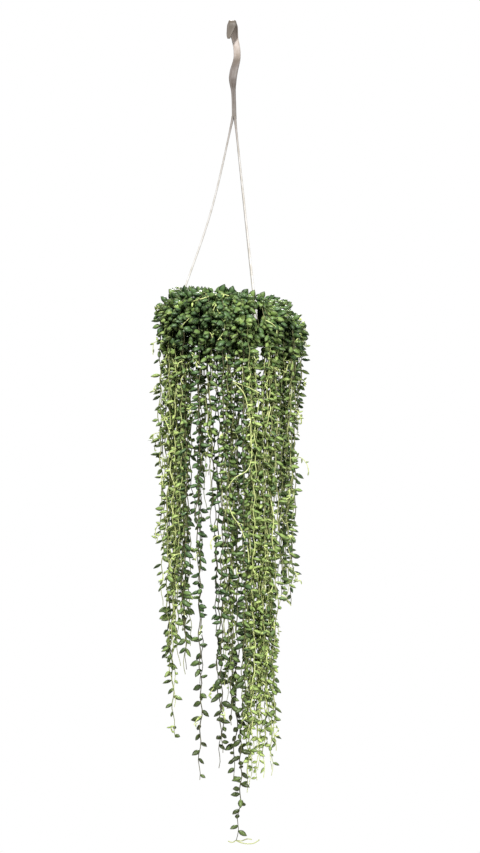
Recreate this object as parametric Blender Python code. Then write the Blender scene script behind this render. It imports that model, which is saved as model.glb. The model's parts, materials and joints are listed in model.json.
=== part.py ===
"""A hanging nursery pot of a trailing bead-leaved succulent, in metres, +Z up.

The origin is the seat of the hanger's hook, where it rests on whatever carries it. The pot hangs below on
three moulded strands. Leafy stems stand in holes in the soil, arch over the pot's lip and trail down.
X runs to the right and Y away from the viewer.
"""
import itertools
import math
import random

import bmesh
import bpy
from mathutils import Matrix, Vector
from mathutils.bvhtree import BVHTree

# Pot and soil
POT_X = -0.0045           # the pot's axis hangs a little left of the hook
RIM_Z = -0.425            # top face of the lip
POT_HEIGHT = 0.062
POT_BASE_Z = RIM_Z - POT_HEIGHT
LIP_RADIUS = 0.0735
LIP_THICK = 0.0024
WALL = 0.0018
WALL_TOP_RADIUS = 0.0660  # outside of the wall under the lip
WALL_BASE_RADIUS = 0.0500
POT_SIDES = 28
DRAIN_HOLES = 5
DRAIN_RADIUS = 0.0022
DRAIN_CIRCLE = 0.0320
SOIL_BELOW_RIM = 0.0100
SOIL_DOME = 0.0030
GAP = 0.0003              # clearance between pieces that touch

# Hanger
STRIP_THICK = 0.0024
STRIP_CHAMFER = 0.0009
HOOK_INNER = 0.0065       # inside radius of the hook's bend
HOOK_WIDTH = 0.0135
HOOK_FACETS = 6
HOOK_TWIST = 0.0012       # sideways shift of the bend's two ends
STRAND_RADIUS = 0.00115
STRAND_SIDES = 6
STRAND_STEP = 0.045
FORK_X = 0.0026
FORK_Z = -0.146           # where the strap parts into three strands
CLIP_ANGLES = (180.0, -60.0, 60.0)
BOWED_CLIP = 180.0        # the strand that hangs less straight than the others
STRAND_BOW = 0.0075
CLIP_WIDTH = 0.0090
CLIP_THICK = 0.0022
CLIP_RADIUS = LIP_RADIUS + GAP + CLIP_THICK / 2
CLIP_TOP = 0.0050         # above the rim
CLIP_DROP = 0.0240        # below the rim
FINGER_THICK = 0.0024
PEG_RADIUS = 0.0012
PEG_HOLE_RADIUS = 0.0016
PEG_CIRCLE = 0.0700

# Leaves: pointed ovals, wider than thick
LEAF_LENGTH = 0.0138
LEAF_WIDTH = 0.0094
LEAF_THICK = 0.0066
LEAF_BROADEST = 0.45      # share of the length at which it is widest
LEAF_SINK = 0.0002        # how far past the stem's middle a leaf's root reaches
CLEAR = 0.0005            # least space between one stem's leaves and the next stem

# Crown: the tuft in the middle of the pot
CORE_RADIUS = 0.0400
CORE_HEIGHT = 0.0200
CORE_EDGE = 0.0040        # thickness of the core at its edge
CORE_SIDES = 10
ROOT_STUB = 0.0050
CROWN_LEAVES = 110
GOLDEN_TURN = math.pi * (3 - math.sqrt(5))
CROWN_SINK = 0.0016       # how far inside the core a leaf's root lies

# Trailing stems: azimuth in degrees (0 right, 90 back, 180 left, 270 front), distance from the pot's axis
# where the stem hangs, and how far below the rim its tip reaches
STEMS = (
    (5, 0.1035, 0.16), (14, 0.0845, 0.43), (23, 0.0945, 0.40), (32, 0.1035, 0.44), (41, 0.0845, 0.54),
    (50, 0.0945, 0.62), (71, 0.0845, 0.58), (78, 0.1035, 0.64), (86, 0.0945, 0.57), (94, 0.0845, 0.47),
    (102, 0.1035, 0.10), (111, 0.0945, 0.07), (120, 0.0845, 0.31), (129, 0.1035, 0.12), (138, 0.0945, 0.35),
    (147, 0.0845, 0.49), (155, 0.1035, 0.53), (163, 0.0945, 0.50), (171, 0.0845, 0.44), (189, 0.1035, 0.45),
    (196, 0.0845, 0.54), (203, 0.0945, 0.645), (210, 0.1035, 0.56), (217, 0.0845, 0.55), (224, 0.0945, 0.50),
    (231, 0.1035, 0.54), (238, 0.0845, 0.42), (244, 0.1035, 0.70), (252, 0.0945, 0.33), (259, 0.0845, 0.685),
    (265, 0.1035, 0.66), (270.5, 0.0945, 0.62), (276, 0.0845, 0.70), (281, 0.1035, 0.805),
    (286.5, 0.0945, 0.72), (292, 0.0845, 0.60), (308, 0.0945, 0.70), (314, 0.1035, 0.66),
    (320, 0.0845, 0.60), (327, 0.0945, 0.45), (334, 0.1035, 0.44), (341, 0.0845, 0.42),
    (349, 0.0945, 0.45), (356, 0.1035, 0.20),
)
STEM_SEED = 700
STEM_RADIUS = 0.0013
STEM_TAPER = 0.35         # share of its radius that a stem loses by its tip
STEM_SIDES = 3
STEM_STEP = 0.075         # length of a stem's straight facets where it hangs
SHOULDER = 0.022          # how far below the rim a stem hangs straight down
WANDER = 0.0040           # how far a hanging stem strays towards and away from the pot's axis
DRAW_IN = 0.0040          # how much nearer the axis its tip hangs
SWAY = 2.4                # how far it strays sideways, in degrees
ROOT_DEPTH = 0.0080
ROOT_RADII = (0.0470, 0.0550)
ROOT_HOLE = 0.0020        # a root's hole is three-sided, as the root is
ARCH_LIFT = 0.0085        # height of a stem over the rim, on the low side of the tuft
TUFT_LEAN = 0.0060        # how much higher the tuft stands on its left
SLUMP = 0.0150            # how much lower the furthest stems turn down on its right
FIRST_LEAF = 0.016        # along the stem from its foot
ARCH_LEAF_STEP = 0.0200
HANG_LEAF_STEP = 0.0490
TRIES = 9                 # directions tried for a leaf that would cross another piece

COLOURS = {
    "pot": ((0.035, 0.032, 0.028), 0.45),
    "soil": ((0.045, 0.028, 0.017), 0.95),
    "hanger": ((0.62, 0.58, 0.54), 0.35),
    "crown": ((0.075, 0.16, 0.05), 0.40),
    "stem": ((0.13, 0.24, 0.06), 0.42),
}


def material(name):
    """A Principled material from the table of colours, made once."""
    made = bpy.data.materials.get(name)
    if made is None:
        colour, roughness = COLOURS[name]
        made = bpy.data.materials.new(name)
        made.use_nodes = True
        shader = made.node_tree.nodes["Principled BSDF"]
        shader.inputs["Base Color"].default_value = (*colour, 1.0)
        shader.inputs["Roughness"].default_value = roughness
    return made


def add_object(name, verts, faces, finish=None):
    mesh = bpy.data.meshes.new(name)
    mesh.from_pydata([tuple(v) for v in verts], [], faces)
    made = bpy.data.objects.new(name, mesh)
    bpy.context.scene.collection.objects.link(made)
    if finish:
        mesh.materials.append(material(finish))
    return made


def smooth(obj, angle=35.0):
    obj.data.shade_smooth()
    obj.data.set_sharp_from_angle(angle=math.radians(angle))
    return obj


def loft(rings):
    """Vertices and faces of a closed body through rings of equal length, capped at both ends."""
    sides = len(rings[0])
    verts = [point for ring in rings for point in ring]
    faces = [tuple(range(sides))[::-1], tuple(range(len(verts) - sides, len(verts)))]
    for row in range(len(rings) - 1):
        low, high = row * sides, (row + 1) * sides
        for i in range(sides):
            j = (i + 1) % sides
            faces.append((low + i, low + j, high + j, high + i))
    return verts, faces


def turned(profile, sides):
    """A closed body turned about the pot's axis from a closed profile of (radius, z)."""
    verts = []
    for i in range(sides):
        turn = 2 * math.pi * i / sides
        verts += [(POT_X + r * math.cos(turn), r * math.sin(turn), z) for r, z in profile]
    count = len(profile)
    faces = []
    for i in range(sides):
        here, there = i * count, (i + 1) % sides * count
        for j in range(count):
            k = (j + 1) % count
            faces.append((here + j, here + k, there + k, there + j))
    return verts, faces


def tidy_mesh(obj):
    """Merges a turned body's doubled points on its axis, and points its faces outwards."""
    shape = bmesh.new()
    shape.from_mesh(obj.data)
    bmesh.ops.remove_doubles(shape, verts=shape.verts, dist=1e-6)
    bmesh.ops.dissolve_degenerate(shape, edges=shape.edges, dist=1e-7)
    bmesh.ops.recalc_face_normals(shape, faces=shape.faces)
    shape.to_mesh(obj.data)
    shape.free()
    return obj


def apply_modifiers(obj):
    graph = bpy.context.evaluated_depsgraph_get()
    done = bpy.data.meshes.new_from_object(obj.evaluated_get(graph))
    obj.modifiers.clear()
    old = obj.data
    obj.data = done
    bpy.data.meshes.remove(old)


def combine(obj, parts, operation, solver="EXACT"):
    """Joins the parts to obj, or cuts them from it, in one Boolean, and removes the parts."""
    group = bpy.data.collections.new(obj.name + "_parts")
    bpy.context.scene.collection.children.link(group)
    for part in parts:
        for home in list(part.users_collection):
            home.objects.unlink(part)
        group.objects.link(part)
    boolean = obj.modifiers.new("combine", "BOOLEAN")
    boolean.operation = operation
    boolean.solver = solver
    boolean.operand_type = "COLLECTION"
    boolean.collection = group
    apply_modifiers(obj)
    for part in list(group.objects):
        mesh = part.data
        bpy.data.objects.remove(part)
        bpy.data.meshes.remove(mesh)
    bpy.data.collections.remove(group)
    return obj


def around(centre, radius, sides):
    """Points of a level circle."""
    turns = [2 * math.pi * i / sides for i in range(sides)]
    return [Vector(centre) + Vector((math.cos(turn), math.sin(turn), 0)) * radius for turn in turns]


def post(name, centre, radius, low, high, sides, top_radius=None):
    """An upright prism or cone frustum."""
    x, y = centre
    rings = [around((x, y, low), radius, sides), around((x, y, high), top_radius or radius, sides)]
    return add_object(name, *loft(rings))


def slab(name, centre, size, turn=0.0):
    """A box of the given size, turned about the vertical."""
    half = [s / 2 for s in size]
    rings = []
    for z in (-half[2], half[2]):
        corners = ((-half[0], -half[1]), (half[0], -half[1]), (half[0], half[1]), (-half[0], half[1]))
        ring = [Matrix.Rotation(turn, 3, "Z") @ Vector((x, y, z)) + Vector(centre) for x, y in corners]
        rings.append(ring)
    return add_object(name, *loft(rings))


def frames_along(points):
    """(tangent, side, lift) at each point of a route, carried along without twist."""
    count = len(points)
    tangents = [
        (points[min(i + 1, count - 1)] - points[max(i - 1, 0)]).normalized() for i in range(count)
    ]
    side = tangents[0].orthogonal().normalized()
    frames = []
    for tangent in tangents:
        side = (side - tangent * side.dot(tangent)).normalized()
        frames.append((tangent, side, tangent.cross(side)))
    return frames


def tube(name, points, radii, sides, finish=None):
    rings = []
    for point, radius, (_, side, lift) in zip(points, radii, frames_along(points)):
        ring = []
        for i in range(sides):
            turn = 2 * math.pi * i / sides
            ring.append(point + (side * math.cos(turn) + lift * math.sin(turn)) * radius)
        rings.append(ring)
    return add_object(name, *loft(rings), finish)


def curve_through(controls, step):
    """Points about a step apart on a smooth curve through the controls."""
    ends = [controls[0] * 2 - controls[1], *controls, controls[-1] * 2 - controls[-2]]
    points = [controls[0].copy()]
    for i in range(1, len(ends) - 2):
        a, b, c, d = ends[i - 1:i + 3]
        pieces = max(1, round((c - b).length / step))
        for n in range(1, pieces + 1):
            t = n / pieces
            points.append(0.5 * (
                2 * b + (c - a) * t + (2 * a - 5 * b + 4 * c - d) * t * t
                + (3 * b - a - 3 * c + d) * t ** 3
            ))
    return points


def pot_point(radius, degrees, z):
    turn = math.radians(degrees)
    return Vector((POT_X + radius * math.cos(turn), radius * math.sin(turn), z))


# The pot, with its lip, drain holes and the lip's holes for the hanger's pegs

def make_pot():
    lip_under = RIM_Z - LIP_THICK
    floor = POT_BASE_Z + WALL
    profile = (
        (0.0, POT_BASE_Z), (WALL_BASE_RADIUS - 0.002, POT_BASE_Z), (WALL_BASE_RADIUS, POT_BASE_Z + 0.002),
        (WALL_TOP_RADIUS, lip_under), (LIP_RADIUS, lip_under), (LIP_RADIUS, RIM_Z),
        (WALL_TOP_RADIUS - WALL, RIM_Z), (WALL_BASE_RADIUS - WALL, floor), (0.0, floor),
    )
    pot = tidy_mesh(add_object("pot", *turned(profile, POT_SIDES), "pot"))
    cutters = []
    for i in range(DRAIN_HOLES):
        spot = pot_point(DRAIN_CIRCLE, 90 + i * 360 / DRAIN_HOLES, 0)
        cutters.append(post("drain", spot.xy, DRAIN_RADIUS, POT_BASE_Z - 0.005, floor + 0.005, 10))
    for angle in CLIP_ANGLES:
        spot = pot_point(PEG_CIRCLE, angle, 0)
        cutters.append(post("peg_hole", spot.xy, PEG_HOLE_RADIUS, lip_under - 0.004, RIM_Z + 0.004, 8))
    return smooth(combine(pot, cutters, "DIFFERENCE"))


# The soil, with a hole for each stem's root and for the crown's

def inner_wall_radius(z):
    """Inside radius of the pot's wall at a height."""
    floor = POT_BASE_Z + WALL
    share = (z - floor) / (RIM_Z - floor)
    low, high = WALL_BASE_RADIUS - WALL, WALL_TOP_RADIUS - WALL
    return low + (high - low) * share


def soil_top(radius):
    """Height of the soil's gently domed surface."""
    return RIM_Z - SOIL_BELOW_RIM + SOIL_DOME * (1 - (radius / WALL_TOP_RADIUS) ** 2)


def make_soil(roots):
    bottom = POT_BASE_Z + WALL + GAP
    edge = inner_wall_radius(soil_top(WALL_TOP_RADIUS)) - GAP
    profile = [(0.0, bottom), (inner_wall_radius(bottom) - GAP, bottom)]
    for radius in (edge, edge * 0.5, 0.0):
        profile.append((radius, soil_top(radius)))
    soil = tidy_mesh(add_object("soil", *turned(profile, POT_SIDES), "soil"))
    cutters = []
    for root in roots:
        run = [Vector((root.x, root.y, z)) for z in (root.z - GAP, RIM_Z)]
        cutters.append(tube("root_hole", run, [ROOT_HOLE, ROOT_HOLE], STEM_SIDES))
    stub = ROOT_STUB + 2 * GAP
    cutters.append(post("stub_hole", (POT_X, 0), stub, crown_root_z() - GAP, RIM_Z, 8))
    return smooth(combine(soil, cutters, "DIFFERENCE"))


# The hanger: hook, strap, three strands and their clips, moulded in one piece

def strip_stations():
    """(centre, width) down the strip, from the tip of the hook's tail, over the bend and down the strap."""
    bend = HOOK_INNER + STRIP_THICK / 2
    stations = [
        (Vector((-0.0055, -bend - 0.0004, -0.0262)), 0.0046),
        (Vector((-0.0050, -bend - 0.0003, -0.0210)), 0.0078),
        (Vector((-0.0028, -bend, -0.0130)), 0.0115),
    ]
    for share in (i / HOOK_FACETS for i in range(HOOK_FACETS + 1)):
        turn = math.pi * (1 - share)
        across = (2 * share - 1) * HOOK_TWIST
        centre = Vector((across, bend * math.cos(turn), bend * math.sin(turn) - HOOK_INNER))
        stations.append((centre, HOOK_WIDTH))
    strap = (
        (0.0020, 0.0074, -0.0140, 0.0125), (0.0034, 0.0058, -0.0240, 0.0108),
        (0.0056, 0.0034, -0.0345, 0.0102), (0.0068, 0.0014, -0.0440, 0.0104),
        (0.0068, 0.0014, -0.0540, 0.0106), (0.0052, 0.0030, -0.0620, 0.0114),
        (0.0025, 0.0020, -0.0720, 0.0122), (0.0006, -0.0012, -0.0840, 0.0120),
        (0.0006, -0.0010, -0.0930, 0.0102), (0.0010, 0.0000, -0.1000, 0.0080),
        (0.0016, 0.0000, -0.1080, 0.0068), (0.0022, 0.0000, -0.1250, 0.0066),
        (FORK_X, 0.0000, FORK_Z, 0.0070),
    )
    return stations + [(Vector(station[:3]), station[3]) for station in strap]


def strip(name, stations):
    """A flat strip with chamfered edges; its width runs along X and its thickness across the route."""
    rings = []
    centres = [centre for centre, _ in stations]
    for i, (centre, width) in enumerate(stations):
        along = centres[min(i + 1, len(centres) - 1)] - centres[max(i - 1, 0)]
        through = Vector((0, along.z, -along.y)).normalized() * (STRIP_THICK / 2)
        half = Vector((width / 2, 0, 0))
        inset = Vector((min(STRIP_CHAMFER, width / 5), 0, 0))
        rings.append([
            centre - half, centre - half + inset + through, centre + half - inset + through,
            centre + half, centre + half - inset - through, centre - half + inset - through,
        ])
    return add_object(name, *loft(rings))


def strand_route(angle):
    """A strand's controls, from inside the neck down to the top of its clip."""
    lean = Vector((math.cos(math.radians(angle)), math.sin(math.radians(angle)), 0))
    start = Vector((FORK_X, 0, FORK_Z + 0.004)) + lean * 0.0019
    knee = start + Vector((0, 0, -0.007)) + lean * 0.0012
    end = pot_point(CLIP_RADIUS, angle, RIM_Z + CLIP_TOP - 0.002)
    if angle != BOWED_CLIP:
        return [start, knee, end]
    return [start, knee, (knee + end) / 2 - lean * STRAND_BOW, end]


def clip_parts(angle):
    """A tab outside the lip, a finger under the lip and a peg up through the lip's hole."""
    turn = math.radians(angle)
    high, low = RIM_Z + CLIP_TOP, RIM_Z - CLIP_DROP
    centre = pot_point(CLIP_RADIUS, angle, (high + low) / 2)
    tab = slab("tab", centre, (CLIP_THICK, CLIP_WIDTH, high - low), turn)
    near, far = PEG_CIRCLE - PEG_RADIUS, CLIP_RADIUS
    finger_z = RIM_Z - LIP_THICK - GAP - FINGER_THICK / 2
    centre = pot_point((near + far) / 2, angle, finger_z)
    finger = slab("finger", centre, (far - near, CLIP_WIDTH * 0.6, FINGER_THICK), turn)
    spot = pot_point(PEG_CIRCLE, angle, 0)
    peg = post("peg", spot.xy, PEG_RADIUS, finger_z, RIM_Z + 0.0006, 8, PEG_RADIUS * 0.8)
    return [tab, finger, peg]


def make_hanger():
    hanger = strip("hanger", strip_stations())
    hanger.data.materials.append(material("hanger"))
    parts = []
    for angle in CLIP_ANGLES:
        points = curve_through(strand_route(angle), STRAND_STEP)
        parts.append(tube("strand", points, [STRAND_RADIUS] * len(points), STRAND_SIDES))
        parts += clip_parts(angle)
    return smooth(combine(tidy_mesh(hanger), parts, "UNION"))


# Where the stems run

def stem_controls(index):
    """The points that stem number index runs through, from its root in the soil to its tip."""
    azimuth, hang, reach = STEMS[index]
    draw = random.Random(STEM_SEED + index)
    root = ROOT_RADII[index % 2]
    leftness = (1 - math.cos(math.radians(azimuth))) / 2
    lift = ARCH_LIFT + TUFT_LEAN * leftness + draw.uniform(-0.002, 0.003)
    soil = soil_top(root)
    slump = SLUMP * (1 - leftness) ** 2 * (hang - LIP_RADIUS) / 0.030
    controls = [
        pot_point(root, azimuth, soil - ROOT_DEPTH),
        pot_point(root, azimuth, soil + 0.003),
        pot_point(root + 0.008, azimuth, RIM_Z + lift * 0.75),
        pot_point(LIP_RADIUS + 0.001, azimuth, RIM_Z + lift + 0.001),
        pot_point(hang - 0.002, azimuth, RIM_Z + lift - 0.009 - slump),
        pot_point(hang, azimuth, RIM_Z - SHOULDER),
    ]
    sway = 0.0
    falls = max(1, round((reach - SHOULDER) / STEM_STEP))
    for n in range(1, falls + 1):
        share = n / falls
        z = RIM_Z - SHOULDER - (reach - SHOULDER) * share
        sway = max(-SWAY, min(SWAY, sway + draw.uniform(-1.3, 1.3)))
        out = hang + draw.uniform(-WANDER, WANDER) - DRAW_IN * share
        controls.append(pot_point(out, azimuth + sway, z))
    return controls


def evenly(points, step):
    """Points a step apart along a run of straight pieces."""
    spots = []
    left = 0.0
    for a, b in zip(points, points[1:]):
        length = (b - a).length
        at = left
        while at < length:
            spots.append(a.lerp(b, at / length))
            at += step
        left = at - length
    return spots


# Keeping one stem's leaves off the next stem, the pot and the hanger

CELL = 0.012              # no less than two balls across and their clearance


class Space:
    """Balls that stand for what is already placed, each with its owner, sorted into cubic cells."""

    def __init__(self):
        self.cells = {}

    def cell(self, point):
        return tuple(math.floor(c / CELL) for c in point)

    def near(self, point):
        """What lies in the cells at and around a point."""
        home = self.cell(point)
        for step in itertools.product((-1, 0, 1), repeat=3):
            yield from self.cells.get(tuple(h + s for h, s in zip(home, step)), ())

    def add(self, owner, balls):
        for point, radius in balls:
            self.cells.setdefault(self.cell(point), []).append((owner, point, radius))

    def free(self, owner, balls):
        return not any(
            other != owner and (centre - point).length < radius + size + CLEAR
            for point, radius in balls
            for other, centre, size in self.near(point)
        )


def clear_of_pot(point, radius):
    """True where a ball is outside the pot and above its contents."""
    reach = math.hypot(point.x - POT_X, point.y)
    between = POT_BASE_Z - radius - CLEAR < point.z < RIM_Z + radius + CLEAR
    return not (between and reach < LIP_RADIUS + radius + CLEAR)


def leaf_points(root, along, across):
    """A leaf's root, its three broadest points, one of them on the leaf's back, and its tip."""
    through = along.cross(across).normalized()
    middle = root + along * LEAF_LENGTH * LEAF_BROADEST
    wide, thick = across * (LEAF_WIDTH / 2), through * (LEAF_THICK / 3)
    edge, other_edge = middle + wide - thick, middle - wide - thick
    return [root, edge, middle + thick * 2, other_edge, root + along * LEAF_LENGTH]


def leaf_balls(root, along):
    """Balls that hold a leaf."""
    shares = ((0.25, 0.6), (0.45, 1.0), (0.65, 0.75), (0.88, 0.3))
    return [(root + along * LEAF_LENGTH * at, LEAF_WIDTH / 2 * size) for at, size in shares]


def add_leaf(root, along, across):
    faces = [(0, 2, 1), (0, 3, 2), (0, 1, 3), (4, 1, 2), (4, 2, 3), (4, 3, 1)]
    return tidy_mesh(add_object("leaf", leaf_points(root, along, across), faces))


def level_across(along, roll):
    """The leaf's broad direction: level, so that its face looks up, then rolled about its length."""
    flat = Vector((0, 0, 1)).cross(along)
    if flat.length < 0.2:
        flat = along.orthogonal()
    return Matrix.Rotation(roll, 3, along) @ flat.normalized()


# The crown: a low core on the soil, covered with leaves

def crown_root_z():
    return soil_top(0) - 0.008


def core_surface(share, turn):
    """A point of the core and the direction out of it; share runs from 0 at the top to 1 at the edge."""
    lean = share * math.pi / 2
    radius = CORE_RADIUS * math.sin(lean)
    z = soil_top(radius) + GAP + CORE_EDGE + CORE_HEIGHT * math.cos(lean)
    level = Vector((math.cos(turn), math.sin(turn), 0))
    out = level * math.sin(lean) + Vector((0, 0, math.cos(lean) + 0.15))
    return Vector((POT_X, 0, z)) + level * radius, out.normalized()


def make_core():
    """The core's body, with the stub that stands in the soil."""
    under = soil_top(0) + GAP
    levels = [(crown_root_z(), ROOT_STUB), (under, ROOT_STUB), (under, CORE_RADIUS * 0.9)]
    for share in (1.0, 0.85, 0.62, 0.34, 0.08):
        point, _ = core_surface(share, 0)
        levels.append((point.z, point.x - POT_X))
    rings = [around((POT_X, 0, z), radius, CORE_SIDES) for z, radius in levels]
    return tidy_mesh(add_object("crown", *loft(rings), "crown"))


def make_crown(space):
    crown = make_core()
    corners = [vertex.co for vertex in crown.data.vertices]
    surface = BVHTree.FromPolygons(corners, [face.vertices for face in crown.data.polygons])
    draw = random.Random(STEM_SEED - 1)
    leaves = []
    for i in range(CROWN_LEAVES):
        share = math.sqrt((i + 0.5) / CROWN_LEAVES) * 0.98
        point, out = core_surface(share, i * GOLDEN_TURN)
        root = surface.find_nearest(point)[0] - out * CROWN_SINK
        for _ in range(TRIES):
            lean = Vector((draw.uniform(-1, 1), draw.uniform(-1, 1), draw.uniform(-0.3, 0.6)))
            along = (out + lean * 0.75).normalized()
            balls = leaf_balls(root, along)
            if along.dot(out) > 0.5 and tips_clear(balls) and space.free("crown", balls):
                space.add("crown", balls)
                leaves.append(add_leaf(root, along, level_across(along, draw.uniform(-0.8, 0.8))))
                break
    return smooth(combine(crown, leaves, "UNION", "MANIFOLD"), 20.0)


def tips_clear(balls):
    """True where a crown leaf stays above the soil."""
    return all(point.z - radius > soil_top(0) + CLEAR for point, radius in balls)


# A trailing stem with its leaves

def leaf_places(points):
    """(point, tangent, side) where leaves grow: close together over the rim, further apart down the drape."""
    travelled, due = 0.0, FIRST_LEAF
    places = []
    for (a, b), (_, side, _) in zip(zip(points, points[1:]), frames_along(points)):
        length = (b - a).length
        tangent = (b - a) / length
        side = (side - tangent * side.dot(tangent)).normalized()
        while due <= travelled + length:
            spot = a + tangent * (due - travelled)
            places.append((spot, tangent, side))
            due += HANG_LEAF_STEP if spot.z < RIM_Z - 0.050 else ARCH_LEAF_STEP
        travelled += length
    places.append((points[-1] - tangent * LEAF_SINK, tangent, side))
    return places


def make_stem(name, points, draw, space):
    last = len(points) - 1
    radii = [STEM_RADIUS * (1 - STEM_TAPER * i / last) for i in range(last + 1)]
    stem = tube(name, points, radii, STEM_SIDES, "stem")
    facet = draw.randrange(STEM_SIDES)
    leaves = []
    for place, tangent, side in leaf_places(points):
        facet += draw.choice((1, 2))
        rise = Vector((0, 0, draw.uniform(-0.10, 0.45)))
        roll = draw.uniform(-0.5, 0.5)
        for attempt in range(TRIES):
            turn = (2 * (facet + attempt) + 1) * math.pi / STEM_SIDES + draw.uniform(-0.35, 0.35)
            away = Matrix.Rotation(turn, 3, tangent) @ side
            along = (away + rise).normalized()
            root = place - along * LEAF_SINK
            balls = leaf_balls(root, along)
            if all(clear_of_pot(*ball) for ball in balls) and space.free(name, balls):
                space.add(name, balls)
                leaves.append(add_leaf(root, along, level_across(along, roll)))
                break
    return smooth(combine(stem, leaves, "UNION", "MANIFOLD"), 20.0)


def hanger_balls():
    """Balls along the hanger's strands and clips."""
    balls = []
    for angle in CLIP_ANGLES:
        strand = curve_through(strand_route(angle), STRAND_STEP)
        balls += [(point, STRAND_RADIUS) for point in evenly(strand, 0.002)]
        clip = [pot_point(CLIP_RADIUS, angle, z) for z in (RIM_Z + CLIP_TOP, RIM_Z - CLIP_DROP)]
        balls += [(point, CLIP_WIDTH / 2) for point in evenly(clip, 0.003)]
    return balls


def main():
    for obj in list(bpy.data.objects):
        bpy.data.objects.remove(obj)
    routes = [stem_controls(index) for index in range(len(STEMS))]
    make_pot()
    make_soil([route[0] for route in routes])
    make_hanger()
    space = Space()
    space.add("hanger", hanger_balls())
    stems = {f"stem_{i + 1:02d}": curve_through(route, STEM_STEP) for i, route in enumerate(routes)}
    for name, points in stems.items():
        space.add(name, [(point, STEM_RADIUS) for point in evenly(points, 0.002)])
    make_crown(space)
    draw = random.Random(STEM_SEED)
    for name, points in stems.items():
        make_stem(name, points, draw, space)


main()
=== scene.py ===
# %% [markdown]
# # A hanging pot of string of pearls
#
# A nursery pot hangs by a moulded hook. A succulent fills it with a low tuft and trails down all round in
# thin stems set with small pointed oval leaves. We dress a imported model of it: the model gives every
# place and size, and this script gives each surface the shape and finish that a close look shows.

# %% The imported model
import math
import random

import bmesh
import bpy
import json
from mathutils import Matrix, Vector, noise

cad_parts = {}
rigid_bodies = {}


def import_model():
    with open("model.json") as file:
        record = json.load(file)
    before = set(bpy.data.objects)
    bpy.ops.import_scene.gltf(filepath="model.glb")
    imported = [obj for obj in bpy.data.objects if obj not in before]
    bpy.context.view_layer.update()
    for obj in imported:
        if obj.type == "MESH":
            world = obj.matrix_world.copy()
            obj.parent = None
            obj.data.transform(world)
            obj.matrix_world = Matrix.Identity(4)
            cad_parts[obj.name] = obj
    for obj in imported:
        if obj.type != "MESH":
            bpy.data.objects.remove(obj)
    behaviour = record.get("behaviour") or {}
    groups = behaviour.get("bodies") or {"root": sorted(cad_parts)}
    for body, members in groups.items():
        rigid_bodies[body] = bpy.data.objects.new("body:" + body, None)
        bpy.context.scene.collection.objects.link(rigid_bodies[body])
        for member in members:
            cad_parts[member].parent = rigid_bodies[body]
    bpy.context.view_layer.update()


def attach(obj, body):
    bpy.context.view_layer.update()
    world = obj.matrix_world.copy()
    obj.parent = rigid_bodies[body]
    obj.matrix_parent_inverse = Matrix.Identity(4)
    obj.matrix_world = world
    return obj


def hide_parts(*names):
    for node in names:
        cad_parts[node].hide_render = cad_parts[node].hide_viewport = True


for startup in list(bpy.data.objects):
    bpy.data.objects.remove(startup)
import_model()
scene = bpy.context.scene

# %% [markdown]
# ## Sizes shared with the model
#
# The dressed pieces stand exactly where the model's pieces stand, so both are made from the same few
# measures. The origin is the seat of the hook. The pot's axis is a little to its left, and heights on the
# plant are counted from the pot's rim.

# %% Sizes
POT_X, RIM_Z, POT_HEIGHT = -0.0045, -0.425, 0.062
POT_BASE_Z = RIM_Z - POT_HEIGHT
LIP_RADIUS, LIP_THICK, WALL = 0.0735, 0.0024, 0.0018
WALL_TOP_RADIUS, WALL_BASE_RADIUS = 0.0660, 0.0500
SOIL_BELOW_RIM, SOIL_DOME = 0.0100, 0.0030
GAP = 0.0003
CLIP_ANGLES = (180.0, -60.0, 60.0)


def pot_point(radius, degrees, z):
    """A point at a distance and a bearing from the pot's axis."""
    turn = math.radians(degrees)
    return Vector((POT_X + radius * math.cos(turn), radius * math.sin(turn), z))


def soil_top(radius):
    """Height of the gently domed soil."""
    return RIM_Z - SOIL_BELOW_RIM + SOIL_DOME * (1 - (radius / WALL_TOP_RADIUS) ** 2)


print("pot rim at", RIM_Z, "m, soil at its middle", round(soil_top(0), 4), "m")

# %% [markdown]
# ## Camera, light and floor
#
# The plant was seen from straight ahead and from well back, so the camera is a long lens at the height of
# the middle of the drape. Light is that of a pale studio: a bright even surround with large soft panels,
# which is what lets hundreds of small waxy leaves show their highlights.

# %% Camera
CAMERA_DISTANCE = 4.0
VIEW_HEIGHT = 1.2795
view_centre = Vector((0.01125, 0.0, -0.60735))

camera_data = bpy.data.cameras.new("camera")
camera_data.sensor_width = 36.0
camera_data.lens = 36.0 * CAMERA_DISTANCE / VIEW_HEIGHT
camera_data.clip_end = 60.0
camera = bpy.data.objects.new("camera", camera_data)
camera.location = view_centre + Vector((0, -CAMERA_DISTANCE, 0))
camera.rotation_euler = (math.radians(90), 0, 0)
scene.collection.objects.link(camera)
scene.camera = camera
print("lens", round(camera_data.lens, 1), "mm")

# %% Light
scene.view_settings.view_transform = "Standard"
SURROUND = (1.0, 1.0, 1.0, 1.0)
SURROUND_LIGHT = 0.10     # what the pale surround gives as light; it is seen at full strength


def add_panel(name, place, size, power):
    """A square soft light that faces the pot."""
    light = bpy.data.lights.new(name, "AREA")
    light.size = size
    light.energy = power
    panel = bpy.data.objects.new(name, light)
    panel.location = place
    aim = Vector((POT_X, 0, -0.55)) - Vector(place)
    panel.rotation_euler = aim.to_track_quat("-Z", "Y").to_euler()
    scene.collection.objects.link(panel)


add_panel("key_light", (-1.0, -2.6, 2.3), 0.5, 245)
add_panel("fill_light", (2.0, -2.6, 0.2), 0.8, 95)
add_panel("back_light", (0.4, 2.6, 1.8), 1.0, 110)

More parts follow.
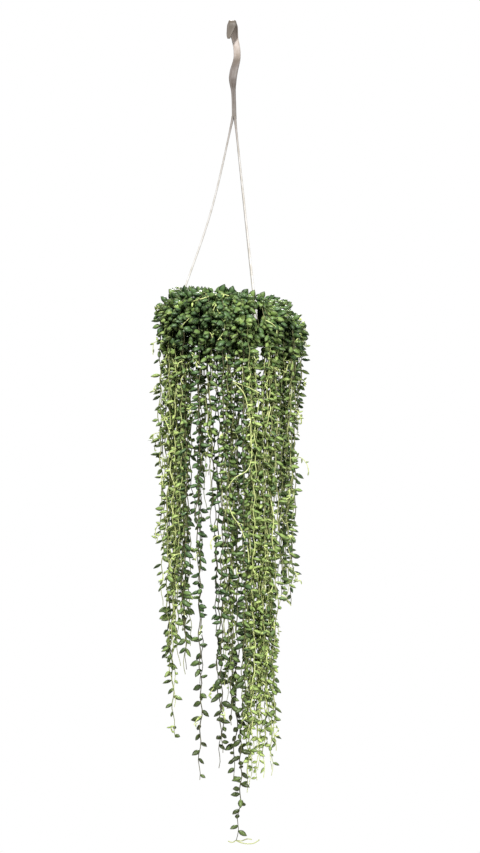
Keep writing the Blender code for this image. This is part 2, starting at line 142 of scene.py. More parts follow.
world = bpy.data.worlds.new("studio")
scene.world = world
world.use_nodes = True
sky = world.node_tree
surround = sky.nodes["Background"]
surround.inputs["Color"].default_value = SURROUND
seen = sky.nodes.new("ShaderNodeLightPath").outputs["Is Camera Ray"]
level = sky.nodes.new("ShaderNodeMapRange")
level.inputs["To Min"].default_value = SURROUND_LIGHT
level.inputs["To Max"].default_value = 1.0
sky.links.new(seen, level.inputs["Value"])
sky.links.new(level.outputs["Result"], surround.inputs["Strength"])
print("three soft panels in a pale surround")

# %% [markdown]
# ## Making nodes in code
#
# A node tree is easier to follow when each node is made by one line. `add_node` makes a node with its
# settings, and gives each of its inputs either a value or the output that feeds it.

# %% Node helpers
def add_node(tree, kind, inputs=None, **settings):
    """A node with its settings and inputs; an input is a value or another node's output."""
    made = tree.nodes.new(kind)
    for key, value in settings.items():
        setattr(made, key, value)
    for key, value in (inputs or {}).items():
        if isinstance(value, bpy.types.NodeSocket):
            tree.links.new(value, made.inputs[key])
        else:
            made.inputs[key].default_value = value
    return made


def add_socket(tree, name, kind, value=None, side="INPUT"):
    """A named input or output of a tree."""
    made = tree.interface.new_socket(name=name, in_out=side, socket_type="NodeSocket" + kind)
    if value is not None:
        made.default_value = value
    return made


def arith(tree, how, *values, clamp=False):
    """The output of a Math node."""
    return add_node(tree, "ShaderNodeMath", dict(enumerate(values)), operation=how, use_clamp=clamp).outputs[0]


def mix_colour(tree, share, first, second, how="MIX"):
    """The output of a colour Mix node, whose colour inputs are numbers 6 and 7."""
    made = add_node(tree, "ShaderNodeMix", {0: share, 6: first, 7: second}, data_type="RGBA", blend_type=how)
    return made.outputs[2]


def paint(*colour):
    """A colour given as the 0 to 255 values that a screen shows."""
    return (*[(c / 255 / 12.92 if c <= 10 else ((c / 255 + 0.055) / 1.055) ** 2.4) for c in colour], 1.0)


print("helpers ready")

# %% [markdown]
# ## Two shared effects
#
# *Mottle* is what stops a surface from looking printed: its colour wanders between two tones in soft
# patches with a finer grain over them, and the grain also gives a height for bumps. *Dust* is the pale
# film that settles on faces that look up. Each is a group that is built once and used with its own values
# on moulded plastic, soil, stems and leaves.

# %% Mottle group
def make_mottle():
    tree = bpy.data.node_groups.new("Mottle", "ShaderNodeTree")
    for name, kind, value in (
        ("Place", "Vector", None), ("First", "Color", paint(60, 60, 60)), ("Second", "Color", paint(90, 90, 90)),
        ("Patches", "Float", 40.0), ("Grain", "Float", 600.0), ("Grain Strength", "Float", 0.2),
    ):
        add_socket(tree, name, kind, value)
    for name, kind in (("Color", "Color"), ("Height", "Float"), ("Mask", "Float")):
        add_socket(tree, name, kind, side="OUTPUT")
    given = add_node(tree, "NodeGroupInput").outputs
    patches = add_node(tree, "ShaderNodeTexNoise", {
        "Vector": given["Place"], "Scale": given["Patches"], "Detail": 3.0, "Roughness": 0.6})
    grain = add_node(tree, "ShaderNodeTexNoise", {
        "Vector": given["Place"], "Scale": given["Grain"], "Detail": 2.0, "Roughness": 0.5})
    spread = add_node(tree, "ShaderNodeMapRange", {
        "Value": patches.outputs["Fac"], "From Min": 0.35, "From Max": 0.65})
    centred = arith(tree, "SUBTRACT", grain.outputs["Fac"], 0.5)
    strong = arith(tree, "MULTIPLY", centred, given["Grain Strength"])
    mask = arith(tree, "ADD", spread.outputs["Result"], strong, clamp=True)
    add_node(tree, "NodeGroupOutput", {
        "Color": mix_colour(tree, mask, given["First"], given["Second"]),
        "Height": grain.outputs["Fac"], "Mask": mask})
    return tree


mottle = make_mottle()
print("group", mottle.name, [item.name for item in mottle.interface.items_tree])


# %% Dust group
def make_dust():
    tree = bpy.data.node_groups.new("Dust", "ShaderNodeTree")
    for name, kind, value in (
        ("Color", "Color", None), ("Dust Color", "Color", paint(170, 160, 145)), ("Amount", "Float", 0.3),
        ("Place", "Vector", None),
    ):
        add_socket(tree, name, kind, value)
    add_socket(tree, "Color", "Color", side="OUTPUT")
    given = add_node(tree, "NodeGroupInput").outputs
    facing = add_node(tree, "ShaderNodeNewGeometry")
    split = add_node(tree, "ShaderNodeSeparateXYZ", {0: facing.outputs["Normal"]})
    upward = add_node(tree, "ShaderNodeMapRange", {"Value": split.outputs["Z"], "From Min": 0.2, "From Max": 1.0})
    specks = add_node(tree, "ShaderNodeTexNoise", {"Vector": given["Place"], "Scale": 350.0, "Detail": 4.0})
    patchy = arith(tree, "MULTIPLY", upward.outputs["Result"], specks.outputs["Fac"])
    share = arith(tree, "MULTIPLY", patchy, given["Amount"], clamp=True)
    add_node(tree, "NodeGroupOutput", {"Color": mix_colour(tree, share, given[0], given["Dust Color"])})
    return tree


dust = make_dust()
print("group", dust.name)

# %% [markdown]
# ## Starting a finish
#
# Every finish here begins alike: a Principled shader, the object's own coordinates, and a mottle between
# two tones with a bump from its grain. This helper makes that much, and each finish then adds its own.

# %% Finish helper
class Finish:
    """A material under construction: its tree, its Principled shader and its object coordinates."""

    def __init__(self, name, roughness, first, second, patches, grain, strength, bump):
        self.material = bpy.data.materials.new(name)
        self.material.use_nodes = True
        self.tree = self.material.node_tree
        self.shader = self.tree.nodes["Principled BSDF"]
        self.shader.inputs["Roughness"].default_value = roughness
        self.place = add_node(self.tree, "ShaderNodeTexCoord").outputs["Object"]
        self.mottle = add_node(self.tree, "ShaderNodeGroup", node_tree=mottle)
        for key, value in (
            ("Place", self.place), ("First", first), ("Second", second), ("Patches", patches),
            ("Grain", grain), ("Grain Strength", strength),
        ):
            self.feed(self.mottle, key, value)
        relief = add_node(self.tree, "ShaderNodeBump", {
            "Height": self.mottle.outputs["Height"], "Strength": bump, "Distance": 0.0004})
        self.feed(self.shader, "Normal", relief.outputs["Normal"])
        self.colour(self.mottle.outputs["Color"])

    def feed(self, node, key, value):
        if isinstance(value, bpy.types.NodeSocket):
            self.tree.links.new(value, node.inputs[key])
        else:
            node.inputs[key].default_value = value

    def colour(self, output):
        """Sends a colour to the shader."""
        self.feed(self.shader, "Base Color", output)

    def dusted(self, output, amount, tone):
        """The colour with dust on the faces that look up."""
        film = add_node(self.tree, "ShaderNodeGroup", node_tree=dust)
        for key, value in ((0, output), ("Dust Color", tone), ("Amount", amount), ("Place", self.place)):
            self.feed(film, key, value)
        return film.outputs[0]

    def attribute(self, name):
        return add_node(self.tree, "ShaderNodeAttribute", attribute_name=name).outputs["Fac"]


print("finish helper ready")

# %% [markdown]
# ## Pot and soil finishes
#
# The pot is thin black nursery plastic: dark brownish grey, satin, a little chalky where water has dried.
# The potting mix is dark and crumbly, so it is rough, strongly mottled and has a coarse bump.

# %% Pot and soil finishes
pot_finish = Finish("pot_plastic", 0.42, paint(38, 36, 33), paint(54, 50, 45), 55, 900, 0.3, 0.25)
pot_finish.colour(pot_finish.dusted(pot_finish.mottle.outputs["Color"], 0.35, paint(120, 112, 98)))

soil_finish = Finish("potting_mix", 0.95, paint(38, 27, 18), paint(86, 64, 44), 260, 1500, 0.9, 1.0)
crumb_finish = Finish("mix_crumbs", 0.9, paint(60, 42, 28), paint(128, 104, 76), 120, 1500, 0.9, 0.8)
print("pot and soil finishes made")

# %% [markdown]
# ## Hanger finish
#
# The hanger is one moulding, yet it isn't one colour: its hook and strap are browner, darkest at the waist
# of the strap, while the thin strands and the clips are off-white. A lighter band near the top of the strap
# is a painted highlight, and the front of the hook's tail is darkened as painted shade. A colour ramp over
# height carries that change, and the mottle keeps it from looking sprayed.

# %% Hanger finish
# Darker at the top of the hook and at the waist of the strap, and paler down the strands; the lighter band from
# -0.024 to -0.050 m near the top of the strap is a painted highlight.
HANGER_TONES = (
    (0.000, (112, 104, 97)), (-0.024, (164, 153, 146)), (-0.050, (150, 140, 133)), (-0.066, (98, 90, 85)),
    (-0.095, (98, 91, 87)), (-0.140, (118, 112, 107)), (-0.162, (146, 140, 136)), (-0.195, (170, 166, 162)),
    (-0.240, (186, 183, 180)), (-0.330, (198, 195, 192)), (-0.415, (212, 210, 207)), (-0.425, (246, 245, 243)),
)
HANGER_LOW = -0.460

hanger_finish = Finish("hanger_plastic", 0.50, paint(255, 255, 255), paint(226, 222, 214), 90, 700, 0.4, 0.12)
hanger_finish.shader.inputs["Specular IOR Level"].default_value = 0.35
tree = hanger_finish.tree
places = add_node(tree, "ShaderNodeSeparateXYZ", {0: hanger_finish.place}).outputs
lowness = arith(tree, "DIVIDE", places["Z"], HANGER_LOW, clamp=True)
ramp = add_node(tree, "ShaderNodeValToRGB", {"Fac": lowness})
for n, (height, tone) in enumerate(HANGER_TONES):
    spot = height / HANGER_LOW
    stops = ramp.color_ramp.elements
    stop = stops[n] if n < 2 else stops.new(spot)
    stop.position = spot
    stop.color = paint(*tone)
# The height ramp, with its painted highlight band, times the mottle.
height_toned = mix_colour(tree, 1.0, ramp.outputs["Color"], hanger_finish.mottle.outputs["Color"], "MULTIPLY")
# Painted shade: the front of the hook's tail, above -0.030 m, is mixed towards dark brown.
in_front = arith(tree, "LESS_THAN", places["Y"], -0.0040)
painted_tail_shade = arith(tree, "MULTIPLY", in_front, arith(tree, "GREATER_THAN", places["Z"], -0.030))
with_tail_shade = mix_colour(tree, arith(tree, "MULTIPLY", painted_tail_shade, 0.9), height_toned, paint(78, 71, 62))
hanger_finish.colour(hanger_finish.dusted(with_tail_shade, 0.25, paint(150, 136, 118)))
print(len(ramp.color_ramp.elements), "tones down the hanger")

# %% [markdown]
# ## Leaf and stem finishes
#
# A leaf is a small water store with a waxy skin. Its sides are darkened almost to black as painted shade,
# its point is darker, and the middle of each face is paler: partly the leaf's olive window and partly a
# painted highlight. Old leaves are deep green and young ones yellow-green, so each leaf carries a number
# called tone, 0 for dark and 1 for light. Two more numbers on the leaf's shape say how far along it a point
# is and how near its edge. Stems carry tone as well.

# %% Leaf finish
leaf_finish = Finish("leaf_skin", 0.40, paint(44, 68, 36), paint(60, 88, 44), 130, 2200, 0.5, 0.10)
tree = leaf_finish.tree
tone = leaf_finish.attribute("tone")
ripe = add_node(tree, "ShaderNodeValToRGB", {"Fac": tone})
LEAF_TONES = (
    (0.0, (18, 42, 20)), (0.3, (42, 88, 32)), (0.6, (84, 144, 42)), (0.85, (140, 184, 68)), (1.0, (200, 212, 132)),
)
for spot, shade in LEAF_TONES:
    stops = ripe.color_ramp.elements
    stop = stops[0] if spot == 0.0 else stops[1] if spot == 1.0 else stops.new(spot)
    stop.position = spot
    stop.color = paint(*shade)
speckled = mix_colour(tree, 0.45, ripe.outputs["Color"], leaf_finish.mottle.outputs["Color"], "MIX")
body = mix_colour(tree, arith(tree, "ADD", tone, 0.35, clamp=True), speckled, ripe.outputs["Color"])
edge = leaf_finish.attribute("edge")
# The middle of each face is paler: partly the leaf's olive window, partly a painted highlight.
window_highlight_share = arith(tree, "MULTIPLY", arith(tree, "SUBTRACT", 1.0, edge), 0.26)
green = arith(tree, "MULTIPLY", tone, 3.0, clamp=True)
pale = mix_colour(tree, green, paint(136, 170, 108), paint(138, 186, 84))
window_and_highlight = mix_colour(tree, window_highlight_share, body, pale)
# Painted shade: the leaf's sides are mixed almost to black.
edge_shade_share = arith(tree, "MULTIPLY", arith(tree, "POWER", edge, 1.2), 0.94)
edge_shaded = mix_colour(tree, edge_shade_share, window_and_highlight, paint(10, 24, 10))
along = leaf_finish.attribute("along")
point_share = add_node(tree, "ShaderNodeMapRange", {
    "Value": along, "From Min": 0.80, "From Max": 1.0, "To Max": 0.55}).outputs["Result"]
# Leaves that aren't young turn olive brown the further down the drape they hang.
heights = add_node(tree, "ShaderNodeSeparateXYZ", {0: leaf_finish.place}).outputs["Z"]
low_down = add_node(tree, "ShaderNodeMapRange", {
    "Value": heights, "From Min": -0.85, "From Max": -1.05, "To Max": 0.62}).outputs["Result"]
not_young = arith(tree, "SUBTRACT", 1.0, arith(tree, "MULTIPLY", tone, 2.2), clamp=True)
darker_low_down = mix_colour(tree, arith(tree, "MULTIPLY", low_down, not_young), edge_shaded, paint(52, 46, 20))
leaf_finish.colour(mix_colour(tree, point_share, darker_low_down, paint(58, 56, 38)))
leaf_finish.shader.inputs["Specular IOR Level"].default_value = 0.22
leaf_finish.shader.inputs["Coat Weight"].default_value = 0.10
leaf_finish.shader.inputs["Coat Roughness"].default_value = 0.25
print("leaf finish made")

# %% Stem finish
stem_finish = Finish("stem_skin", 0.55, paint(60, 58, 34), paint(92, 90, 56), 160, 1400, 0.5, 0.3)
greening = add_node(stem_finish.tree, "ShaderNodeMapRange", {
    "Value": stem_finish.attribute("tone"), "From Min": 0.08, "From Max": 0.60}).outputs["Result"]
stem_finish.colour(mix_colour(
    stem_finish.tree, greening, stem_finish.mottle.outputs["Color"], paint(200, 208, 136)))
print("stem finish made")

# %% [markdown]
# ## Mesh helpers
#
# Most rigid pieces here are either turned about an axis or lofted through a row of outlines. Both give
# quads that shade smoothly, and both close their ends. `finish_piece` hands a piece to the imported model: it
# rides on the model's one body and takes the place of the solids that it dresses.

# %% Mesh helpers
def new_piece(name, verts, faces, finish, angle=40.0):
    mesh = bpy.data.meshes.new(name)
    mesh.from_pydata([tuple(v) for v in verts], [], faces)
    shape = bmesh.new()
    shape.from_mesh(mesh)
    bmesh.ops.remove_doubles(shape, verts=shape.verts, dist=1e-6)
    bmesh.ops.recalc_face_normals(shape, faces=shape.faces)
    shape.to_mesh(mesh)
    shape.free()
    piece = bpy.data.objects.new(name, mesh)
    scene.collection.objects.link(piece)
    mesh.materials.append(finish.material)
    mesh.shade_smooth()
    mesh.set_sharp_from_angle(angle=math.radians(angle))
    return piece


def loft(rings):
    """Vertices and faces of a closed body through rings of equal length."""
    sides = len(rings[0])
    verts = [point for ring in rings for point in ring]
    faces = [tuple(range(sides))[::-1], tuple(range(len(verts) - sides, len(verts)))]
    for row in range(len(rings) - 1):
        low, high = row * sides, (row + 1) * sides
        for i in range(sides):
            j = (i + 1) % sides
            faces.append((low + i, low + j, high + j, high + i))
    return verts, faces


def turned(profile, sides):
    """A closed body turned about the pot's axis from a closed profile of (radius, z)."""
    verts = []
    for i in range(sides):
        turn = 2 * math.pi * i / sides
        verts += [Vector((POT_X + r * math.cos(turn), r * math.sin(turn), z)) for r, z in profile]
    count = len(profile)
    faces = []
    for i in range(sides):
        here, there = i * count, (i + 1) % sides * count
        for j in range(count):
            k = (j + 1) % count
            faces.append((here + j, here + k, there + k, there + j))
    return verts, faces


def bake_modifiers(piece):
    """Turns a piece and its modifiers into a plain mesh."""
    graph = bpy.context.evaluated_depsgraph_get()
    done = bpy.data.meshes.new_from_object(piece.evaluated_get(graph))
    piece.modifiers.clear()
    old = piece.data
    piece.data = done
    bpy.data.meshes.remove(old)
    return piece


def merge(name, pieces):
    """One piece from several separate shells."""
    joined = bmesh.new()
    for piece in pieces:
        joined.from_mesh(piece.data)
    mesh = bpy.data.meshes.new(name)
    joined.to_mesh(mesh)
    joined.free()
    for slot in pieces[0].data.materials:
        mesh.materials.append(slot)
    made = bpy.data.objects.new(name, mesh)
    scene.collection.objects.link(made)
    for piece in pieces:
        bpy.data.objects.remove(piece)
    return made


def finish_piece(piece, slot, *nodes):
    """Rides on the model and stands for the nodes that it dresses."""
    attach(piece, "root")
    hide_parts(*nodes)
    triangles = sum(len(face.vertices) - 2 for face in piece.data.polygons)
    print(piece.name, triangles, "triangles")


def curve_through(controls, step):
    """Points about a step apart on a smooth curve through the controls."""
    ends = [controls[0] * 2 - controls[1], *controls, controls[-1] * 2 - controls[-2]]
    points = [controls[0].copy()]
    for i in range(1, len(ends) - 2):
        a, b, c, d = ends[i - 1:i + 3]
        pieces = max(1, round((c - b).length / step))
        for n in range(1, pieces + 1):
            t = n / pieces
            points.append(0.5 * (
                2 * b + (c - a) * t + (2 * a - 5 * b + 4 * c - d) * t * t
                + (3 * b - a - 3 * c + d) * t ** 3
            ))
    return points


def tube_rings(points, radii, sides):
    """Rings about a route, carried along it without twist."""
    count = len(points)
    side = (points[1] - points[0]).orthogonal().normalized()
    rings = []
    for i, (point, radius) in enumerate(zip(points, radii)):
        tangent = (points[min(i + 1, count - 1)] - points[max(i - 1, 0)]).normalized()
        side = (side - tangent * side.dot(tangent)).normalized()
        lift = tangent.cross(side)
        turns = [2 * math.pi * k / sides for k in range(sides)]
        rings.append([point + (side * math.cos(t) + lift * math.sin(t)) * radius for t in turns])
    return rings


print("mesh helpers ready")

# %% [markdown]
# ## The pot
#
# A nursery pot is vacuum-formed from a thin sheet: a tapered wall, a rounded heel, a flat base with drain
# holes, and a rim that is rolled outwards to stiffen it. Turning a profile gives all of that but the
# holes, which one Boolean cuts. Shallow hoops in the wall, as such pots have, are points of the profile.

# %% Pot
def wall_radius(z):
    """Outside radius of the wall at a height."""
    share = (z - POT_BASE_Z) / (RIM_Z - LIP_THICK - POT_BASE_Z)
    return WALL_BASE_RADIUS + (WALL_TOP_RADIUS - WALL_BASE_RADIUS) * share


def make_pot():
    lip_under, heel = RIM_Z - LIP_THICK, 0.004
    outer = [(0.0, POT_BASE_Z), (0.030, POT_BASE_Z)]
    for k in range(5):
        turn = math.pi / 2 * k / 4
        outer.append((
            WALL_BASE_RADIUS - heel + heel * math.sin(turn) + 0.0008 * k / 4,
            POT_BASE_Z + heel * (1 - math.cos(turn))))
    hoops = (0.013, 0.024, 0.035, 0.046)
    for height in hoops:
        for off, swell in ((-0.0022, 0.0), (-0.0008, 0.0005), (0.0008, 0.0005), (0.0022, 0.0)):
            z = POT_BASE_Z + height + off
            outer.append((wall_radius(z) + swell, z))
    outer += [(WALL_TOP_RADIUS - 0.0004, lip_under - 0.0010), (WALL_TOP_RADIUS + 0.0008, lip_under - 0.0001)]
    outer.append((LIP_RADIUS - 0.0010, lip_under))
    for k in range(1, 6):
        turn = math.pi * k / 6
        outer.append((LIP_RADIUS - 0.0010 + 0.0010 * math.sin(turn), RIM_Z - LIP_THICK / 2 * (1 + math.cos(turn))))
    outer += [(LIP_RADIUS - 0.0010, RIM_Z), (WALL_TOP_RADIUS - WALL + 0.0010, RIM_Z)]
    outer.append((WALL_TOP_RADIUS - WALL, RIM_Z - 0.0010))
    for height in reversed(hoops):
        outer.append((wall_radius(POT_BASE_Z + height) - WALL, POT_BASE_Z + height))
    floor = POT_BASE_Z + WALL
    outer += [(WALL_BASE_RADIUS - WALL, floor + 0.002), (WALL_BASE_RADIUS - WALL - 0.002, floor), (0.0, floor)]
    pot = new_piece("pot_body", *turned(outer, 112), pot_finish)
    cutters = []
    for k in range(5):
        spot = pot_point(0.0320, 90 + k * 72, 0)
        run = [Vector((spot.x, spot.y, z)) for z in (POT_BASE_Z - 0.005, POT_BASE_Z + 0.007)]
        cutters.append(new_piece("drain", *loft(tube_rings(run, (0.0022, 0.0022), 24)), pot_finish))
    for angle in CLIP_ANGLES:
        spot = pot_point(0.0700, angle, 0)
        run = [Vector((spot.x, spot.y, z)) for z in (RIM_Z - 0.006, RIM_Z + 0.004)]
        cutters.append(new_piece("peg_hole", *loft(tube_rings(run, (0.0016, 0.0016), 20)), pot_finish))
    cutter = merge("pot_holes", cutters)
    cut = pot.modifiers.new("holes", "BOOLEAN")
    cut.operation, cut.solver, cut.object = "DIFFERENCE", "EXACT", cutter
    bake_modifiers(pot)
    bpy.data.objects.remove(cutter)
    pot.data.set_sharp_from_angle(angle=math.radians(40))
    return pot


pot = make_pot()
finish_piece(pot, "pot", "pot")

# %% [markdown]
# ## The potting mix
#
# The mix fills the pot to a little under its rim and is uneven on top. Its surface is a turned disc whose
# points are lifted by noise. Loose crumbs and grit lie on it: Geometry Nodes scatter one small faceted
# shape over the top faces with a random turn and size, since nobody places crumbs one by one.

# %% Crumb scatter tree
def make_scatter():
    tree = bpy.data.node_groups.new("Scatter crumbs", "GeometryNodeTree")
    add_socket(tree, "Geometry", "Geometry")
    for name, kind, value in (
        ("Crumb", "Object", None), ("Crumb Finish", "Material", None), ("Density", "Float", 9000.0),
        ("Smallest", "Float", 0.0007), ("Largest", "Float", 0.0024), ("Seed", "Int", 4),
    ):
        add_socket(tree, name, kind, value)
    add_socket(tree, "Geometry", "Geometry", side="OUTPUT")
    given = add_node(tree, "NodeGroupInput").outputs
    facing = add_node(tree, "GeometryNodeInputNormal").outputs["Normal"]
    upward = add_node(tree, "ShaderNodeSeparateXYZ", {0: facing}).outputs["Z"]
    top = add_node(tree, "FunctionNodeCompare", {"A": upward, "B": 0.6}, operation="GREATER_THAN")
    spots = add_node(tree, "GeometryNodeDistributePointsOnFaces", {
        "Mesh": given["Geometry"], "Selection": top.outputs[0], "Density": given["Density"], "Seed": given["Seed"]})
    turn = add_node(tree, "FunctionNodeRandomValue", {
        "Max": (6.28, 6.28, 6.28), "Seed": given["Seed"]}, data_type="FLOAT_VECTOR")
    size = add_node(tree, "FunctionNodeRandomValue", {
        2: given["Smallest"], 3: given["Largest"], "Seed": given["Seed"]}, data_type="FLOAT")
    crumb = add_node(tree, "GeometryNodeObjectInfo", {"Object": given["Crumb"], "As Instance": True})
    laid = add_node(tree, "GeometryNodeInstanceOnPoints", {
        "Points": spots.outputs["Points"], "Instance": crumb.outputs["Geometry"],
        "Rotation": turn.outputs[0], "Scale": size.outputs[1]})
    solid = add_node(tree, "GeometryNodeRealizeInstances", {"Geometry": laid.outputs[0]})
    finished = add_node(tree, "GeometryNodeSetMaterial", {
        "Geometry": solid.outputs[0], "Material": given["Crumb Finish"]})
    both = add_node(tree, "GeometryNodeJoinGeometry", {"Geometry": given["Geometry"]})
    tree.links.new(finished.outputs[0], both.inputs["Geometry"])
    add_node(tree, "NodeGroupOutput", {"Geometry": both.outputs[0]})
    return tree


def grow(piece, tree, inputs):
    """Runs a Geometry Nodes tree on a piece and keeps the result as a plain mesh."""
    modifier = piece.modifiers.new(tree.name, "NODES")
    modifier.node_group = tree
    for item in tree.interface.items_tree:
        if item.in_out == "INPUT" and item.name in inputs:
            modifier[item.identifier] = inputs[item.name]
    bake_modifiers(piece)
    if piece.data.materials[0] is None:
        piece.data.materials.pop(index=0)
    return piece


scatter = make_scatter()
print("tree", scatter.name)


# %% Potting mix
def make_mix():
    bottom = POT_BASE_Z + WALL + GAP
    edge = WALL_TOP_RADIUS - WALL - 0.0030
    profile = [(0.0, bottom), (0.0470, bottom), (0.0535, -0.4640)]
    for k in range(25):
        radius = edge * (1 - k / 24)
        profile.append((radius, soil_top(radius)))
    mix = new_piece("potting_mix", *turned(profile, 72), soil_finish, 80)
    for vertex in mix.data.vertices:
        if vertex.co.z > soil_top(WALL_TOP_RADIUS) - 0.0005:
            lump = noise.fractal(vertex.co * 160, 0.9, 2.0, 3)
            vertex.co.z += max(-0.0010, min(0.0014, lump * 0.0016))
    mix.data.update()
    return mix


def make_crumb():
    """A faceted crumb of unit size."""
    shape = bmesh.new()
    bmesh.ops.create_icosphere(shape, subdivisions=1, radius=0.5)
    rng = random.Random(11)
    for vertex in shape.verts:
        vertex.co *= rng.uniform(0.7, 1.15)
    mesh = bpy.data.meshes.new("crumb")
    shape.to_mesh(mesh)
    shape.free()
    return bpy.data.objects.new("crumb", mesh)


mix = make_mix()
crumb = make_crumb()
grow(mix, scatter, {"Crumb": crumb, "Crumb Finish": crumb_finish.material, "Density": 30000.0})
bpy.data.objects.remove(crumb)
finish_piece(mix, "soil", "soil")

# %% [markdown]
# ## The hanger
#
# Hook, strap, three strands and three clips come out of one mould. The strap is a flat strip whose edges
# are left thick and whose faces are sunk, which is how a moulder makes a thin strip stiff. Where it narrows
# to a neck a middle rib takes over. A loft suits it: one outline is carried along the strip's route, over
# the hook and down the S-bend, and its width and rib change on the way.

# %% Strap
STRIP_THICK, HOOK_INNER, HOOK_WIDTH, HOOK_WAIST, HOOK_TWIST = 0.0024, 0.0065, 0.0135, 0.0036, 0.0012
FORK_X, FORK_Z = 0.0026, -0.146
STRIP_SECTION = (
    (-1.0, 0.0), (-0.985, 0.45), (-0.94, 0.82), (-0.86, 1.0), (-0.76, 0.98), (-0.66, 0.62), (-0.34, 0.56),
    (-0.14, 0.56), (0.0, 0.56), (0.14, 0.56), (0.34, 0.56), (0.66, 0.62), (0.76, 0.98), (0.86, 1.0),
    (0.94, 0.82), (0.985, 0.45), (1.0, 0.0),
)


def strip_stations():
    """(x, y, z, width) down the strip, from the tip of the hook's tail, over the bend and down the strap."""
    bend = HOOK_INNER + STRIP_THICK / 2
    stations = [
        (-0.0055, -bend - 0.0004, -0.0262, 0.0046), (-0.0050, -bend - 0.0003, -0.0210, 0.0078),
        (-0.0028, -bend, -0.0130, 0.0115),
    ]
    for share in (i / 6 for i in range(7)):
        turn = math.pi * (1 - share)
        stations.append((
            (2 * share - 1) * HOOK_TWIST, bend * math.cos(turn), bend * math.sin(turn) - HOOK_INNER,
            HOOK_WIDTH - HOOK_WAIST * math.sin(turn)))
    stations += [
        (0.0020, 0.0074, -0.0140, 0.0125), (0.0034, 0.0058, -0.0240, 0.0108), (0.0056, 0.0034, -0.0345, 0.0102),
        (0.0068, 0.0014, -0.0440, 0.0104), (0.0068, 0.0014, -0.0540, 0.0106), (0.0052, 0.0030, -0.0620, 0.0114),
        (0.0025, 0.0020, -0.0720, 0.0122), (0.0006, -0.0012, -0.0840, 0.0120), (0.0006, -0.0010, -0.0930, 0.0102),
        (0.0010, 0.0000, -0.1000, 0.0080), (0.0016, 0.0000, -0.1080, 0.0068), (0.0022, 0.0000, -0.1250, 0.0066),
        (FORK_X, 0.0000, FORK_Z, 0.0070),
    ]
    return [Vector(station) for station in stations]


def strip_ring(station, along, rib, shrink):
    """One outline of the strip; rib raises the middle of its faces."""
    centre, width = station.xyz, station.w * shrink
    through = Vector((0, along.z, -along.y)).normalized() * (STRIP_THICK / 2 * shrink)
    ring = []
    for side, section in ((1, STRIP_SECTION), (-1, STRIP_SECTION[-2:0:-1])):
        for across, height in section:
            raised = height + (1.0 - height) * rib if abs(across) < 0.1 else height
            ring.append(centre + Vector((across * width / 2, 0, 0)) + through * raised * side)
    return ring


def make_strap():
    stations = curve_through(strip_stations(), 0.0022)
    last = len(stations) - 1
    rings = []
    for i, station in enumerate(stations):
        along = (stations[min(i + 1, last)] - stations[max(i - 1, 0)]).xyz.normalized()
        neck = max(0.0, min(1.0, (-0.088 - station.z) / 0.008)) if i > last / 3 else 0.0
        if i in (0, last):
            end = station.copy()
            end.xyz += along * (-0.0006 if i == 0 else 0.0006)
            tips = [strip_ring(end, along, neck, 0.72), strip_ring(station, along, neck, 1.0)]
            rings += tips if i == 0 else tips[::-1]
        else:
            rings.append(strip_ring(station, along, neck, 1.0))
    return new_piece("strap", *loft(rings), hanger_finish, 55)


strap = make_strap()
print("strap", len(strap.data.polygons), "faces")

# %% [markdown]
# ## Strands and clips
#
# The strands are thin round runners, thicker where they leave the neck and where they meet a clip, as the
# plastic has to flow through them. A clip hugs the outside of the rim: a tab with rounded edges and a
# thumb pad, a finger under the rim, and a peg that comes up through the rim's hole.

# %% Strands and clips
STRAND_RADIUS = 0.00115
BOWED_CLIP, STRAND_BOW = 180.0, 0.0075     # one strand hangs less straight than the others
CLIP_WIDTH, CLIP_THICK, CLIP_TOP, CLIP_DROP = 0.0090, 0.0022, 0.0050, 0.0240
CLIP_RADIUS = LIP_RADIUS + GAP + CLIP_THICK / 2
FINGER_THICK, PEG_RADIUS, PEG_CIRCLE = 0.0024, 0.0012, 0.0700


def strand_points(angle):
    lean = Vector((math.cos(math.radians(angle)), math.sin(math.radians(angle)), 0))
    start = Vector((FORK_X, 0, FORK_Z + 0.004)) + lean * 0.0019
    knee = start + Vector((0, 0, -0.007)) + lean * 0.0012
    end = pot_point(CLIP_RADIUS, angle, RIM_Z + CLIP_TOP - 0.002)
    bow = [(knee + end) / 2 - lean * STRAND_BOW] if angle == BOWED_CLIP else []
    return curve_through([start, knee, *bow, end], 0.008)


def make_strand(angle):
    points = strand_points(angle)
    count = len(points) - 1
    radii = []
    for i in range(count + 1):
        near_end = max(0.0, 1 - i / 7, 1 - (count - i) / 3)
        radii.append(STRAND_RADIUS * (1.22 + 0.60 * near_end * near_end))
    return new_piece("strand", *loft(tube_rings(points, radii, 14)), hanger_finish, 60)


def rounded_slab(name, centre, size, turn, bevel, taper=1.0):
    """A block with rounded edges whose top may be narrower, turned about the vertical."""
    shape = bmesh.new()
    bmesh.ops.create_cube(shape, size=1.0)
    for vertex in shape.verts:
        vertex.co = Vector([vertex.co[k] * size[k] for k in range(3)])
        if vertex.co.z > 0:
            vertex.co.y *= taper
    bmesh.ops.bevel(shape, geom=shape.edges[:], offset=bevel, segments=3, affect="EDGES", profile=0.5)
    bmesh.ops.transform(shape, matrix=Matrix.Translation(centre) @ Matrix.Rotation(turn, 4, "Z"), verts=shape.verts)
    mesh = bpy.data.meshes.new(name)
    shape.to_mesh(mesh)
    shape.free()
    return new_piece(name, [v.co for v in mesh.vertices], [tuple(f.vertices) for f in mesh.polygons], hanger_finish)


